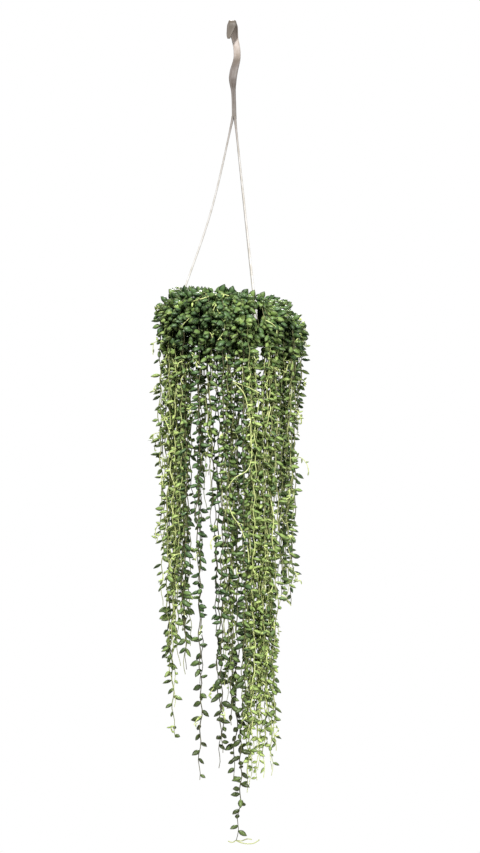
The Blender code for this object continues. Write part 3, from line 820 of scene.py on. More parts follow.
def make_clip(angle):
    turn = math.radians(angle)
    high, low = RIM_Z + CLIP_TOP, RIM_Z - CLIP_DROP
    tab = rounded_slab(
        "tab", pot_point(CLIP_RADIUS, angle, (high + low) / 2), (CLIP_THICK, CLIP_WIDTH, high - low), turn, 0.0008, 0.86)
    pad = rounded_slab(
        "pad", pot_point(CLIP_RADIUS + 0.0011, angle, RIM_Z - 0.012), (0.0010, 0.0052, 0.0150), turn, 0.0004)
    near, far = PEG_CIRCLE - PEG_RADIUS, CLIP_RADIUS
    finger_z = RIM_Z - LIP_THICK - GAP - FINGER_THICK / 2
    finger = rounded_slab(
        "finger", pot_point((near + far) / 2, angle, finger_z), (far - near, CLIP_WIDTH * 0.6, FINGER_THICK), turn, 0.0005)
    peg_run = [pot_point(PEG_CIRCLE, angle, z) for z in (finger_z, RIM_Z - 0.0004, RIM_Z + 0.0006)]
    peg = new_piece("peg", *loft(tube_rings(peg_run, (PEG_RADIUS, PEG_RADIUS * 0.85, PEG_RADIUS * 0.6), 14)), hanger_finish)
    top = strand_points(angle)[-1]
    lean = (strand_points(angle)[-2] - top).normalized()
    collar_run = [top - lean * 0.0014, top + lean * 0.0010, top + lean * 0.0045, top + lean * 0.0075]
    collar = new_piece("collar", *loft(tube_rings(collar_run, (0.0016, 0.0021, 0.0017, 0.0012), 14)), hanger_finish)
    return [tab, pad, finger, peg, collar]


shells = [strap]
for angle in CLIP_ANGLES:
    shells.append(make_strand(angle))
    shells += make_clip(angle)
hanger = merge("hanger_moulding", shells)
hanger.data.shade_smooth()
hanger.data.set_sharp_from_angle(angle=math.radians(50))
finish_piece(hanger, "hanger", "hanger")

# %% [markdown]
# ## One leaf
#
# The leaves aren't round pearls: seen close, each is a plump oval that ends in a fine point. One leaf of
# unit size is made with few faces, since thousands of it will be placed, and carries two numbers for its
# finish: how far along it a point lies, and how near its edge.

# %% Leaf
LEAF_LENGTH, LEAF_WIDTH, LEAF_THICK = 0.0136, 0.0068, 0.0046
LEAF_RINGS = ((0.05, 0.25), (0.18, 0.72), (0.40, 1.0), (0.66, 0.84), (0.87, 0.38))
LEAF_SIDES = 6


def make_leaf():
    verts, faces = [Vector((0, 0, 0))], []
    for at, swell in LEAF_RINGS:
        for k in range(LEAF_SIDES):
            turn = 2 * math.pi * k / LEAF_SIDES
            sag = 0.10 * (at - 0.4) ** 2
            verts.append(Vector((at, swell * math.cos(turn) / 2, swell * math.sin(turn) / 2 - sag)))
    verts.append(Vector((1.0, 0, -0.06)))
    for k in range(LEAF_SIDES):
        following = (k + 1) % LEAF_SIDES
        faces.append((0, 1 + following, 1 + k))
        for row in range(len(LEAF_RINGS) - 1):
            low, high = 1 + row * LEAF_SIDES, 1 + (row + 1) * LEAF_SIDES
            faces.append((low + k, low + following, high + following, high + k))
        last = 1 + (len(LEAF_RINGS) - 1) * LEAF_SIDES
        faces.append((last + k, last + following, len(verts) - 1))
    mesh = bpy.data.meshes.new("leaf")
    mesh.from_pydata([tuple(v) for v in verts], [], faces)
    along = mesh.attributes.new("along", "FLOAT", "POINT")
    edge = mesh.attributes.new("edge", "FLOAT", "POINT")
    for i, vertex in enumerate(mesh.vertices):
        along.data[i].value = vertex.co.x
        reach = math.hypot(vertex.co.y, vertex.co.z)
        sideways = (vertex.co.y / reach) ** 2 if reach > 0.07 else 0.6
        edge.data[i].value = max(0.0, (sideways - 0.25) / 0.75)
    return bpy.data.objects.new("leaf", mesh)


leaf = make_leaf()
print("leaf", len(leaf.data.polygons), "faces")

# %% [markdown]
# ## Leaves on stems, by Geometry Nodes
#
# This tree is the heart of the plant. It takes bare lines for stems, makes each a thin tube, walks along
# it at an even pitch and sets a leaf on every second or third step. Each leaf points away from the stem
# at a turn drawn at random, then leans by what the line carries: away from the pot where the wall is
# close, up on the tuft, and down on the drape. Numbers on the lines set thickness, size and tone.

# %% Leafy stem tree
def make_stem_tree():
    tree = bpy.data.node_groups.new("Leafy stems", "GeometryNodeTree")
    add_socket(tree, "Geometry", "Geometry")
    for name, kind, value in (
        ("Leaf", "Object", None), ("Leaf Finish", "Material", None), ("Stem Finish", "Material", None),
        ("Leaf Length", "Float", LEAF_LENGTH), ("Leaf Width", "Float", LEAF_WIDTH),
        ("Leaf Thickness", "Float", LEAF_THICK), ("Pitch", "Float", 0.004), ("Missing", "Float", 0.07),
        ("Pot Axis", "Vector", (POT_X, 0.0, 0.0)), ("Seed", "Int", 1),
    ):
        add_socket(tree, name, kind, value)
    add_socket(tree, "Geometry", "Geometry", side="OUTPUT")
    given = add_node(tree, "NodeGroupInput").outputs

    def carried(name):
        return add_node(tree, "GeometryNodeInputNamedAttribute", {"Name": name}, data_type="FLOAT").outputs[0]

    def chance(low, high, offset, kind="FLOAT"):
        seed = arith(tree, "ADD", given["Seed"], offset)
        if kind == "FLOAT":
            made = add_node(tree, "FunctionNodeRandomValue", {2: low, 3: high, "Seed": seed}, data_type=kind)
            return made.outputs[1]
        return add_node(tree, "FunctionNodeRandomValue", {0: low, 1: high, "Seed": seed}, data_type=kind).outputs[0]

    def vector(how, first, second, key=1):
        return add_node(tree, "ShaderNodeVectorMath", {0: first, key: second}, operation=how).outputs[0]

    lines = add_node(tree, "GeometryNodeMeshToCurve", {"Mesh": given["Geometry"]}).outputs[0]
    outline = add_node(tree, "GeometryNodeCurvePrimitiveCircle", {"Resolution": 5, "Radius": 1.0}).outputs[0]
    tube = add_node(tree, "GeometryNodeCurveToMesh", {
        "Curve": lines, "Profile Curve": outline, "Scale": carried("thickness"), "Fill Caps": True})
    stem = add_node(tree, "GeometryNodeSetMaterial", {"Geometry": tube.outputs[0], "Material": given["Stem Finish"]})

    steps = add_node(tree, "GeometryNodeCurveToPoints", {"Curve": lines, "Length": given["Pitch"]}, mode="LENGTH")
    turned_side = add_node(tree, "ShaderNodeVectorRotate", {
        "Vector": steps.outputs["Normal"], "Axis": steps.outputs["Tangent"], "Angle": chance(0.0, 6.283, 1)},
        rotation_type="AXIS_ANGLE").outputs[0]
    here = add_node(tree, "GeometryNodeInputPosition").outputs[0]
    flat = vector("MULTIPLY", vector("SUBTRACT", here, given["Pot Axis"]), (1.0, 1.0, 0.0))
    away = vector("NORMALIZE", flat, (0, 0, 0))
    outward = vector("SCALE", away, carried("outward"), "Scale")
    lean = add_node(tree, "ShaderNodeCombineXYZ", {"Z": carried("lean")}).outputs[0]
    jitter = chance((-0.35, -0.35, -0.45), (0.35, 0.35, 0.40), 2, "FLOAT_VECTOR")
    pointing = vector("ADD", vector("ADD", turned_side, outward), vector("ADD", lean, jitter))
    roll = chance((-0.7, -0.7, 0.2), (0.7, 0.7, 0.8), 3, "FLOAT_VECTOR")
    upward = vector("ADD", away, roll)
    facing = add_node(tree, "FunctionNodeAxesToRotation", {
        "Primary Axis": pointing, "Secondary Axis": upward}, primary_axis="X", secondary_axis="Z").outputs[0]

    size = arith(tree, "MULTIPLY", carried("size"), chance(0.84, 1.14, 4))
    shape = add_node(tree, "ShaderNodeCombineXYZ", {
        "X": given["Leaf Length"], "Y": given["Leaf Width"], "Z": given["Leaf Thickness"]}).outputs[0]
    scaled = vector("SCALE", shape, size, "Scale")
    varied = vector("MULTIPLY", scaled, chance((0.92, 0.88, 0.88), (1.08, 1.12, 1.12), 5, "FLOAT_VECTOR"))
    wider = arith(tree, "SUBTRACT", carried("broad"), 1.0)
    broad = add_node(tree, "ShaderNodeCombineXYZ", {
        "X": arith(tree, "MULTIPLY_ADD", wider, -0.25, 1.0), "Y": carried("broad"),
        "Z": arith(tree, "MULTIPLY_ADD", wider, 0.45, 1.0)}).outputs[0]
    plump = vector("MULTIPLY", varied, broad)
    counter = add_node(tree, "GeometryNodeInputIndex").outputs[0]
    left_over = arith(tree, "MODULO", counter, arith(tree, "ROUND", carried("every")))
    present = arith(tree, "GREATER_THAN", chance(0.0, 1.0, 6), given["Missing"])
    grows = arith(tree, "MULTIPLY", arith(tree, "LESS_THAN", left_over, 0.5), present)
    shade = arith(tree, "ADD", carried("tone"), chance(-0.22, 0.20, 7), clamp=True)
    toned = add_node(tree, "GeometryNodeStoreNamedAttribute", {
        "Geometry": steps.outputs["Points"], "Name": "tone", "Value": shade}, data_type="FLOAT", domain="POINT")
    model = add_node(tree, "GeometryNodeObjectInfo", {"Object": given["Leaf"], "As Instance": True})
    placed = add_node(tree, "GeometryNodeInstanceOnPoints", {
        "Points": toned.outputs[0], "Selection": grows, "Instance": model.outputs["Geometry"],
        "Rotation": facing, "Scale": plump})
    solid = add_node(tree, "GeometryNodeRealizeInstances", {"Geometry": placed.outputs[0]})
    leaves = add_node(tree, "GeometryNodeSetMaterial", {
        "Geometry": solid.outputs[0], "Material": given["Leaf Finish"]})
    both = add_node(tree, "GeometryNodeJoinGeometry", {"Geometry": stem.outputs[0]})
    tree.links.new(leaves.outputs[0], both.inputs["Geometry"])
    smooth = add_node(tree, "GeometryNodeSetShadeSmooth", {"Geometry": both.outputs[0]})
    add_node(tree, "NodeGroupOutput", {"Geometry": smooth.outputs[0]})
    return tree


stem_tree = make_stem_tree()
print("tree", stem_tree.name, len(stem_tree.nodes), "nodes")

# %% [markdown]
# ## Lines that the tree reads
#
# A line is a row of points with seven numbers on each. `line_numbers` works those out from where a point
# lies: close broad leaves over the rim, further apart and drooping on the drape, smaller and paler towards
# the young tip, and none on the bare thread that some tips end in or in front of the clip that shows.

# %% Lines
NUMBERS = ("thickness", "every", "lean", "outward", "size", "broad", "tone")
CLIP_GAP = 300.0          # bearing of the clip that shows
DROOP = -0.42             # how far a leaf of the drape hangs below level, as a slope


def ramp_between(value, low, high):
    """0 at low, 1 at high, and eased between."""
    share = max(0.0, min(1.0, (value - low) / (high - low)))
    return share * share * (3 - 2 * share)


def bearing_of(point):
    """Bearing of a point from the pot's axis, in degrees."""
    return math.degrees(math.atan2(point.y, point.x - POT_X)) % 360


def over_clip(point):
    """True in front of the clip that shows between two bundles of stems."""
    beside = -11.0 < bearing_of(point) - CLIP_GAP < 7.0
    outside = math.hypot(point.x - POT_X, point.y) > 0.066
    return beside and outside and RIM_Z - 0.028 < point.z < RIM_Z - 0.001


def line_numbers(points, tone, fall_every=3, bare=0.0, thick=0.0007, size=1.0, arch_every=2, perk=0.3, shrink=0.32,
                 hem=0.0, full=0.0, ripen=-0.04):
    """The seven numbers at each point of a line, in the order of NUMBERS."""
    lengths = [(b - a).length for a, b in zip(points, points[1:])]
    left = sum(lengths)
    rows = []
    for point, step in zip(points, [*lengths, 0.0]):
        youth = 1 - ramp_between(left - bare, 0.0, 0.08)
        on_top = ramp_between(point.z, RIM_Z - 0.006, RIM_Z + 0.008)
        beside_pot = ramp_between(point.z - hem, POT_BASE_Z - 0.02, POT_BASE_Z)
        beside_pot *= 1 - ramp_between(point.z, RIM_Z, RIM_Z + 0.012)
        collar = max(on_top, beside_pot)
        far_down = ramp_between(RIM_Z - point.z, 0.42, 0.66)
        hung = ramp_between(RIM_Z - point.z, 0.30, 0.48)
        rows.append((
            max(0.0004, thick * (1 - 0.35 * youth)) * (1 - 0.25 * collar),
            1000.0 if left < bare or over_clip(point) else (arch_every if point.z > RIM_Z - 0.035 else fall_every),
            DROOP + (perk - DROOP) * on_top,
            0.30 + 0.50 * beside_pot + 0.1 * on_top,
            size * (1 - shrink * youth) * (1 + 0.20 * collar + full * hung),
            1.0 + 0.30 * collar,
            min(1.0, tone * (1 - max(0.84 * on_top, 0.52 * beside_pot)) + 0.04 * youth * (1 - on_top)
                + ripen * far_down),
        ))
        left -= step
    return rows


def plant_piece(name, lines, seed, pitch=0.004):
    """A leafy piece from a list of (points, numbers)."""
    verts, edges, rows = [], [], []
    for points, numbers in lines:
        first = len(verts)
        verts += [tuple(p) for p in points]
        rows += numbers
        edges += [(first + i, first + i + 1) for i in range(len(points) - 1)]
    mesh = bpy.data.meshes.new(name)
    mesh.from_pydata(verts, edges, [])
    for k, key in enumerate(NUMBERS):
        layer = mesh.attributes.new(key, "FLOAT", "POINT")
        layer.data.foreach_set("value", [row[k] for row in rows])
    piece = bpy.data.objects.new(name, mesh)
    scene.collection.objects.link(piece)
    grow(piece, stem_tree, {
        "Leaf": leaf, "Leaf Finish": leaf_finish.material, "Stem Finish": stem_finish.material,
        "Pitch": pitch, "Seed": seed})
    for key in NUMBERS[:-1]:
        piece.data.attributes.remove(piece.data.attributes[key])
    return piece


print("line helpers ready")

# %% [markdown]
# ## Where the stems hang
#
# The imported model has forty-four leafy stems, and each row below is one of them: its bearing from the
# pot's axis, how far out it hangs and how far below the rim it reaches. The dressed stem follows the same
# route. Companions that are too fine for the model hang beside it and short shoots skirt the pot.

# %% Stems
STEMS = (
    (5, 0.1035, 0.16), (14, 0.0845, 0.43), (23, 0.0945, 0.40), (32, 0.1035, 0.44), (41, 0.0845, 0.54),
    (50, 0.0945, 0.62), (71, 0.0845, 0.58), (78, 0.1035, 0.64), (86, 0.0945, 0.57), (94, 0.0845, 0.47),
    (102, 0.1035, 0.10), (111, 0.0945, 0.07), (120, 0.0845, 0.31), (129, 0.1035, 0.12), (138, 0.0945, 0.35),
    (147, 0.0845, 0.49), (155, 0.1035, 0.53), (163, 0.0945, 0.50), (171, 0.0845, 0.44), (189, 0.1035, 0.45),
    (196, 0.0845, 0.54), (203, 0.0945, 0.645), (210, 0.1035, 0.56), (217, 0.0845, 0.55), (224, 0.0945, 0.50),
    (231, 0.1035, 0.54), (238, 0.0845, 0.42), (244, 0.1035, 0.70), (252, 0.0945, 0.33), (259, 0.0845, 0.685),
    (265, 0.1035, 0.66), (270.5, 0.0945, 0.62), (276, 0.0845, 0.70), (281, 0.1035, 0.805),
    (286.5, 0.0945, 0.72), (292, 0.0845, 0.60), (308, 0.0945, 0.70), (314, 0.1035, 0.66),
    (320, 0.0845, 0.60), (327, 0.0945, 0.45), (334, 0.1035, 0.44), (341, 0.0845, 0.42),
    (349, 0.0945, 0.45), (356, 0.1035, 0.20),
)
STEM_SEED, STEM_STEP, SHOULDER, WANDER, DRAW_IN, SWAY = 700, 0.075, 0.022, 0.0040, 0.0040, 2.4
ROOT_DEPTH, ROOT_RADII, ARCH_LIFT, TUFT_LEAN = 0.0080, (0.0470, 0.0550), 0.0085, 0.0060
SLUMP = 0.0210            # how much lower the furthest stems turn down on the right
LEFT_SLUMP = 0.0060       # and on the far left
LOW_ARCH, FINE_SLUMP = 0.0040, 0.0050     # the finer stems lie closer to the rim and turn down sooner


def leftness(azimuth):
    """0 at the far right of the pot and 1 at its far left."""
    return (1 - math.cos(math.radians(azimuth))) / 2


def stem_controls(azimuth, hang, reach, root, draw, drift=0.0, arch=ARCH_LIFT):
    """The points that a stem runs through, from its root in the soil to its tip."""
    low_side = (1 - leftness(azimuth)) ** 2
    lift = arch * (1 - 0.85 * low_side) + TUFT_LEAN * leftness(azimuth)
    lift += draw.uniform(-0.002, 0.003) * (1 - 0.6 * low_side)
    slump = SLUMP * low_side + LEFT_SLUMP * leftness(azimuth) ** 3
    if arch < ARCH_LIFT:
        slump += FINE_SLUMP
    slump *= (hang - LIP_RADIUS) / 0.030
    soil = soil_top(root)
    controls = [
        pot_point(root, azimuth, soil - ROOT_DEPTH),
        pot_point(root, azimuth, soil + 0.003),
        pot_point(root + 0.008, azimuth, RIM_Z + lift * 0.75),
        pot_point(LIP_RADIUS + 0.001, azimuth, RIM_Z + lift + 0.001),
        pot_point(hang - 0.002, azimuth, RIM_Z + lift - 0.009 - slump),
        pot_point(hang, azimuth, RIM_Z - SHOULDER),
    ]
    sway = 0.0
    falls = max(1, round((reach - SHOULDER) / STEM_STEP))
    for n in range(1, falls + 1):
        share = n / falls
        z = RIM_Z - SHOULDER - (reach - SHOULDER) * share
        sway = max(-SWAY, min(SWAY, sway + draw.uniform(-1.3, 1.3)))
        out = hang + draw.uniform(-WANDER, WANDER) - DRAW_IN * share
        controls.append(pot_point(out, azimuth + sway + drift * min(1.0, share * 3), z))
    return controls


def meander(points, draw, swing=0.0016):
    """The same line with the small zigzag that a stem takes from leaf to leaf."""
    phase, other = draw.uniform(0, 6.28), draw.uniform(0, 6.28)
    wave, second = draw.uniform(0.018, 0.028), draw.uniform(0.05, 0.09)
    travelled, moved = 0.0, [points[0]]
    for before, point in zip(points, points[1:]):
        travelled += (point - before).length
        turn = travelled / wave * math.pi + phase
        slow = travelled / second * math.pi + other
        grown = min(1.0, travelled / 0.05)
        moved.append(point + Vector((math.sin(turn) + math.sin(slow), math.cos(turn * 0.83), 0)) * swing * grown)
    return moved


def bearing_bump(azimuth, centre, spread):
    off = (azimuth - centre + 180) % 360 - 180
    return math.exp(-(off / spread) ** 2)


def tone_at(azimuth):
    """Bands of younger, yellower growth round the drape."""
    bands = ((198, 18, 0.40), (290, 9, 0.16), (312, 9, 0.20), (335, 9, 0.14), (60, 14, 0.3), (130, 16, 0.25),
             (242, 15, -0.16))
    return 0.22 + sum(strength * bearing_bump(azimuth, at, width) for at, width, strength in bands)


print(len(STEMS), "stems, longest", max(s[2] for s in STEMS), "m below the rim")

# %% [markdown]
# ## Companions and skirt
#
# How many companions a stem gets, and how long they are, follows how dense the real drape is on that side.
# No companion hangs in front of the clip that shows between two bundles, so the gap under it stays open.
# Pale tendrils leave the stems at random, a few side shoots stand out of the drape's outline where the
# real ones do, and the longest stem ends in three bare threads.

# %% Companions
SPARSE = (226.0, 262.0)
BUNDLE = (278.0, 322.0)
LONGEST = max(range(len(STEMS)), key=lambda index: STEMS[index][2])
LONGEST_TRIM, LONGEST_LEAN = 0.016, -0.009     # it ends in threads and swings to the left
SIDE_SHOOTS = {           # by stem: (height, length, how much it rises)
    19: ((-0.440, 0.018, 1.6), (-0.476, 0.024, 0), (-0.545, 0.018, 0), (-0.615, 0.018, 0), (-0.770, 0.020, 0)),
    22: ((-0.820, 0.020, 0),), 40: ((-0.700, 0.014, 0), (-0.770, 0.014, 0)),
    43: ((-0.448, 0.014, 0.6), (-0.590, 0.012, 0)),
}
TIP_THREADS = (           # steps on from the tip
    ((0.006, 0, -0.003), (0.011, 0, -0.002), (0.010, 0.002, 0.001), (0.007, 0, 0.005)),
    ((0.008, 0.002, -0.001), (0.008, 0, 0.003), (0.007, 0, -0.001)), ((-0.006, 0, -0.003), (-0.006, 0, 0.002)),
)


def in_clip_gap(azimuth, width):
    return abs((azimuth - CLIP_GAP + 180) % 360 - 180) < width


def companions(index, draw):
    """(azimuth, hang, reach, drift) of the finer stems beside one of the model's stems."""
    azimuth, hang, reach = STEMS[index]
    bundled = BUNDLE[0] < azimuth < BUNDLE[1]
    sparse = SPARSE[0] < azimuth < SPARSE[1]
    count = 2
    if reach < 0.25 or bundled:
        count = 4 if bundled else 3
    made = []
    for n in range(count):
        bearing = azimuth + draw.uniform(1.5, 5.0) * (1 if n % 2 else -1)
        if in_clip_gap(bearing, 5.5):
            bearing = azimuth
        drift = (CLIP_GAP - bearing) * draw.uniform(0.2, 1.1) if bundled else 0.0
        out = max(0.0800, min(0.1060, hang + draw.choice((-0.0085, -0.0045, 0.0045))))
        drop = draw.uniform(0.52, 0.715) if bundled else reach * draw.uniform(0.55, 0.98)
        if sparse and n:
            drop = draw.uniform(0.14, 0.30)
        made.append((bearing, out, drop, drift))
    return made


def skirt(index, draw):
    """(azimuth, hang, reach) of the short shoots that hang over the rim."""
    made = []
    beside_clip = in_clip_gap(STEMS[index][0], 9)
    for n in range(4 if beside_clip else 2):
        bearing = STEMS[index][0] + draw.uniform(-5, 5)
        if beside_clip and n > 1:
            bearing = CLIP_GAP + draw.uniform(3.6, 6.0) * (1 if STEMS[index][0] > CLIP_GAP else -1)
        if not in_clip_gap(bearing, 3.5):
            made.append((bearing, draw.uniform(0.0800, 0.0960), draw.uniform(0.030, 0.105)))
    return made


def shoot_from(at, heading, length, draw, size=0.62):
    """A young shoot that leaves a point of a stem, hangs in a loose wave and curls up at its tip."""
    sideways = Vector((-heading.y, heading.x, 0)).normalized()
    place, controls = at.copy(), [at]
    legs = max(2, round(length / 0.011))
    for n in range(legs):
        share = n / legs
        swing = sideways * draw.uniform(-0.8, 0.8) + heading * (0.9 - 1.5 * share)
        place = place + (swing + Vector((0, 0, -0.25 - 1.1 * share))).normalized() * length / legs
        controls.append(place)
    curl = sideways * draw.uniform(-1, 1) + Vector((0, 0, draw.uniform(-0.4, 0.7)))
    controls.append(place + curl.normalized() * 0.007)
    points = curve_through(controls, 0.0035)
    count = len(points)
    return points, [
        (0.0006, 2.0, -0.2, 0.3, size * (1 - 0.4 * i / count), 0.9, 0.72 + 0.25 * i / count) for i in range(count)]


def tendril(main, draw):
    """A young shoot from somewhere down a stem."""
    at = main[draw.randrange(len(main) // 5, len(main) - 2)]
    away = Vector((at.x - POT_X, at.y, 0)).normalized()
    heading = (away * 1.2 + Vector((draw.uniform(-1, 1), draw.uniform(-1, 1), 0))).normalized()
    return shoot_from(at, heading, draw.uniform(0.012, 0.018) + 0.020 * draw.random() ** 2, draw)


def side_shoots(index, main, draw):
    """The shoots that stand out of the drape's outline, and the threads at the longest tip."""
    lines = []
    for height, length, rise in SIDE_SHOOTS.get(index, ()):
        at = min(main[8:], key=lambda point: abs(point.z - height))
        away = Vector((at.x - POT_X, at.y, 0)).normalized()
        lines.append(shoot_from(at, away + Vector((0, 0, rise)), length, draw, 0.80))
    if index == LONGEST:
        for steps in TIP_THREADS:
            controls = [main[-1]]
            for step in steps:
                controls.append(controls[-1] + Vector(step))
            points = curve_through(controls, 0.004)
            lines.append((points, [(0.0008, 1000.0, 0, 0, 0.5, 1.0, 0.38) for _ in points]))
    return lines


def spray_lines(index):
    """Every line of one spray: the model's stem, its companions, its share of the skirt and tendrils."""
    azimuth, hang, reach = STEMS[index]
    tone = tone_at(azimuth)
    if index == LONGEST:
        reach -= LONGEST_TRIM
    route = stem_controls(azimuth, hang, reach, ROOT_RADII[index % 2], random.Random(STEM_SEED + index))
    if index == LONGEST:
        for point in route:
            point.x += LONGEST_LEAN * ramp_between(RIM_Z - point.z, 0.45, 0.80)
    draw = random.Random(9000 + index)
    main = meander(curve_through(route, 0.009), draw)
    own = tone + draw.uniform(-0.26, 0.06)
    perk = 1.20 * leftness(azimuth) - 0.80
    bare = draw.choice((0.0, 0.0, 0.0, 0.02))
    hem = draw.uniform(-0.015, 0.015)
    bundled = BUNDLE[0] < azimuth < BUNDLE[1]
    look = dict(ripen=0.08, shrink=0.20) if bundled else dict(full=0.24, shrink=0.22)
    numbers = line_numbers(main, own, bare=bare, thick=0.0008, perk=perk, hem=hem, **look)
    if index == LONGEST:
        numbers = line_numbers(main, 0.08, 2, thick=0.0008, size=1.06, perk=perk, shrink=0.05, full=0.12)
    lines = [(main, numbers)]
    lines += side_shoots(index, main, draw)
    for bearing, out, drop, drift in companions(index, draw):
        root = draw.uniform(0.044, 0.058)
        controls = stem_controls(bearing, out, drop, root, draw, drift, LOW_ARCH)
        fine = meander(curve_through(controls, 0.009), draw)
        own = tone + draw.uniform(-0.26, 0.30)
        numbers = line_numbers(
            fine, own, bare=draw.choice((0.0, 0.0, 0.012)), size=draw.uniform(0.86, 1.0),
            arch_every=draw.choice((1, 2)), perk=perk, hem=draw.uniform(-0.022, 0.012),
            **(dict(ripen=0.12, shrink=0.20) if bundled else {}))
        lines.append((fine, numbers))
        lines.append(tendril(fine, draw))
    for bearing, out, drop in skirt(index, draw):
        root = draw.uniform(0.046, 0.060)
        controls = stem_controls(bearing, out, drop, root, draw, 0.0, LOW_ARCH)
        short = meander(curve_through(controls, 0.008), draw)
        own = tone_at(bearing) + draw.uniform(-0.12, 0.12)
        lines.append((short, line_numbers(
            short, own, fall_every=2, size=draw.uniform(0.86, 1.04), thick=0.0006, arch_every=1, perk=perk)))
    for _ in range(2 if reach > 0.3 else 1):
        lines.append(tendril(main, draw))
    return lines


stem_count = 0
for index in range(len(STEMS)):
    lines = spray_lines(index)
    stem_count += len(lines)
    spray = plant_piece(f"spray_{index + 1:02d}", lines, 40 + index)
    finish_piece(spray, "foliage", f"stem_{index + 1:02d}")
print(stem_count, "stems in all")

# %% [markdown]
# ## The crown
#
# In the middle of the pot the plant is a low cushion of short shoots, packed so close that only the ends
# of the leaves show. It grows from a core of near-black green, painted shade that fills the depth between
# the shoots. The shoots are spread by the golden angle, the same even spread that many plants use. Thin
# wisps stand out of it all round, and pale young runners lie over the front of the plant.

# %% Crown
CORE_RADIUS, CORE_HEIGHT, CORE_EDGE, ROOT_STUB = 0.0400, 0.0070, 0.0030, 0.0050
GOLDEN_TURN = math.pi * (3 - math.sqrt(5))
SHOOTS = 300
RUNNER_RADIUS = 0.1070
RUNNERS = (               # (x, z) down each one, and how rarely it bears a leaf
    (((-0.064, -0.425), (-0.048, -0.421), (-0.030, -0.415), (-0.015, -0.413), (-0.006, -0.416)), 3),
    (((-0.023, -0.434), (-0.017, -0.446), (-0.011, -0.458), (-0.013, -0.471), (-0.020, -0.481)), 3),
    (((0.049, -0.451), (0.058, -0.456), (0.065, -0.463), (0.065, -0.473), (0.068, -0.484)), 1000),
    (((-0.082, -0.454), (-0.076, -0.462), (-0.070, -0.455), (-0.064, -0.449)), 4),
    (((-0.062, -0.498), (-0.056, -0.507), (-0.050, -0.515)), 4),
    (((0.001, -0.542), (0.013, -0.554), (0.021, -0.571), (0.027, -0.602), (0.028, -0.636), (0.024, -0.668),
      (0.004, -0.682), (-0.005, -0.697)), 5),
    (((0.000, -0.541), (0.012, -0.546), (0.026, -0.551), (0.040, -0.558)), 1000),
    (((-0.007, -0.714), (0.000, -0.736), (0.011, -0.755), (0.021, -0.780), (0.024, -0.806)), 5),
    (((-0.085, -0.640), (-0.092, -0.668), (-0.086, -0.694), (-0.090, -0.722), (-0.084, -0.750)), 4),
    (((0.052, -0.700), (0.060, -0.735), (0.058, -0.770), (0.064, -0.800)), 4),
)

# Painted shade: the core's near-black green stands for the depth between the shoots.
core_shade_finish = Finish("crown_core_shade", 0.8, paint(24, 34, 20), paint(44, 58, 32), 220, 1600, 0.8, 0.8)


def core_surface(share, turn):
    """A point of the core and the direction out of it; share runs from 0 at the top to 1 at the edge."""
    lean = share * math.pi / 2
    radius = CORE_RADIUS * math.sin(lean)
    z = soil_top(radius) + GAP + CORE_EDGE + CORE_HEIGHT * math.cos(lean)
    level = Vector((math.cos(turn), math.sin(turn), 0))
    out = level * math.sin(lean) + Vector((0, 0, math.cos(lean) + 0.15))
    return Vector((POT_X, 0, z)) + level * radius, out.normalized()


def make_core():
    foot, under = soil_top(0) - 0.008, soil_top(0) + GAP
    profile = [(0.0, foot), (ROOT_STUB, foot), (ROOT_STUB, under), (CORE_RADIUS * 0.9, under)]
    for k in range(9):
        point, _ = core_surface(1 - k / 8, 0)
        profile.append((max(0.0, point.x - POT_X), point.z))
    core = new_piece("core", *turned(profile, 40), core_shade_finish, 80)
    for vertex in core.data.vertices:
        if vertex.co.z > under + 0.001:
            vertex.co += vertex.normal * noise.noise(vertex.co * 120) * 0.0012
    return core


def wisps(draw):
    """A few thin young shoots that stand out of the tuft all round."""
    lines = []
    for bearing in range(8, 368, 24):
        start = draw.uniform(0.052, 0.074)
        base = pot_point(start, bearing, RIM_Z - 0.006 + 0.010 * leftness(bearing))
        away = (base - pot_point(0, 0, base.z)).normalized()
        rise = draw.uniform(0.003, 0.008) + 0.016 * leftness(bearing) ** 2
        sideways = Vector((-away.y, away.x, 0)) * draw.uniform(-0.006, 0.006)
        knee = base + away * 0.006 + Vector((0, 0, rise * 0.6))
        tip = base + away * draw.uniform(0.010, 0.020) + sideways + Vector((0, 0, rise))
        points = curve_through([base, knee, tip], 0.003)
        count = len(points)
        lines.append((points, [
            (0.0006, 1.0 if i > count * 0.4 else 1000.0, 0.5, 0.5, 0.66 - 0.2 * i / count, 1.0, 0.35)
            for i in range(count)]))
    return lines


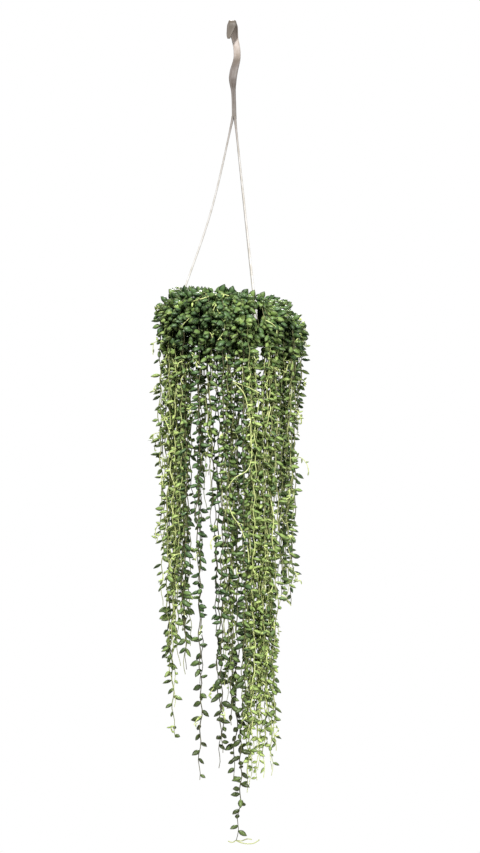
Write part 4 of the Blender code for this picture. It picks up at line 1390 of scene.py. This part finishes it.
def runners(draw):
    """Pale young runners that lie over the front of the plant, each from inside it."""
    lines = []
    for route, leafy in RUNNERS:
        controls = []
        for n, (x, z) in enumerate(route):
            depth = RUNNER_RADIUS - (0.010 if n == 0 else 0.0)
            if z > RIM_Z:
                depth -= 0.024 * ramp_between(z, RIM_Z, RIM_Z + 0.014)
            y = -math.sqrt(depth ** 2 - (x - POT_X) ** 2)
            controls.append(Vector((x, y, z)))
        points = meander(curve_through(controls, 0.004), draw, 0.0006)
        count = len(points)
        lines.append((points, [
            (0.0007, float(leafy), -0.1, 0.5, 0.66 - 0.2 * i / count, 1.0, 0.80 + 0.15 * i / count)
            for i in range(count)]))
    return lines


def crown_lines():
    draw = random.Random(STEM_SEED - 1)
    lines = wisps(draw) + runners(random.Random(STEM_SEED - 2))
    for i in range(SHOOTS):
        share = math.sqrt((i + 0.5) / SHOOTS)
        base, out = core_surface(share, i * GOLDEN_TURN)
        wild = Vector((draw.uniform(-1, 1), draw.uniform(-1, 1), draw.uniform(-0.2, 0.4))) * 0.55
        heading = (out + wild).normalized()
        length = draw.uniform(0.003, 0.008) + 0.009 * share
        middle = base + heading * length * 0.55
        tip = base + heading * length + Vector((wild.x, wild.y, 0.4)) * 0.003
        points = curve_through([base - out * 0.003, middle, tip], 0.003)
        own = 0.04 + draw.uniform(-0.06, 0.16)
        numbers = [(0.0006, 1.0, 0.15, 0.12, draw.uniform(0.90, 1.12), 1.36, own) for _ in points]
        lines.append((points, numbers))
    return lines


core = make_core()
shoots = plant_piece("shoots", crown_lines(), 7, 0.0042)
crown_mesh = bmesh.new()
crown_mesh.from_mesh(shoots.data)
shoots.data.materials.append(core_shade_finish.material)
core_slot = len(shoots.data.materials) - 1
for polygon in core.data.polygons:
    polygon.material_index = core_slot
crown_mesh.from_mesh(core.data)
crown_mesh.to_mesh(shoots.data)
crown_mesh.free()
bpy.data.objects.remove(core)
crown = shoots
crown.name = "crown_tuft"
finish_piece(crown, "crown", "crown")
bpy.data.objects.remove(leaf)

# %% [markdown]
# ## Floor
#
# The pot hangs, so nothing of it touches the floor. A round pale floor well below it gives the light
# something to come back from, and it isn't part of the object.

# %% Floor
floor_finish = Finish("floor_paint", 0.8, paint(246, 248, 243), paint(240, 242, 237), 2.0, 40, 0.2, 0.05)
FLOOR_Z, FLOOR_RADIUS = -1.42, 0.80
ring = [Vector((FLOOR_RADIUS * math.cos(t), FLOOR_RADIUS * math.sin(t), FLOOR_Z)) for t in [
    2 * math.pi * k / 96 for k in range(96)]]
floor = new_piece("floor", ring, [tuple(range(96))], floor_finish)
print("floor", FLOOR_RADIUS, "m in radius")
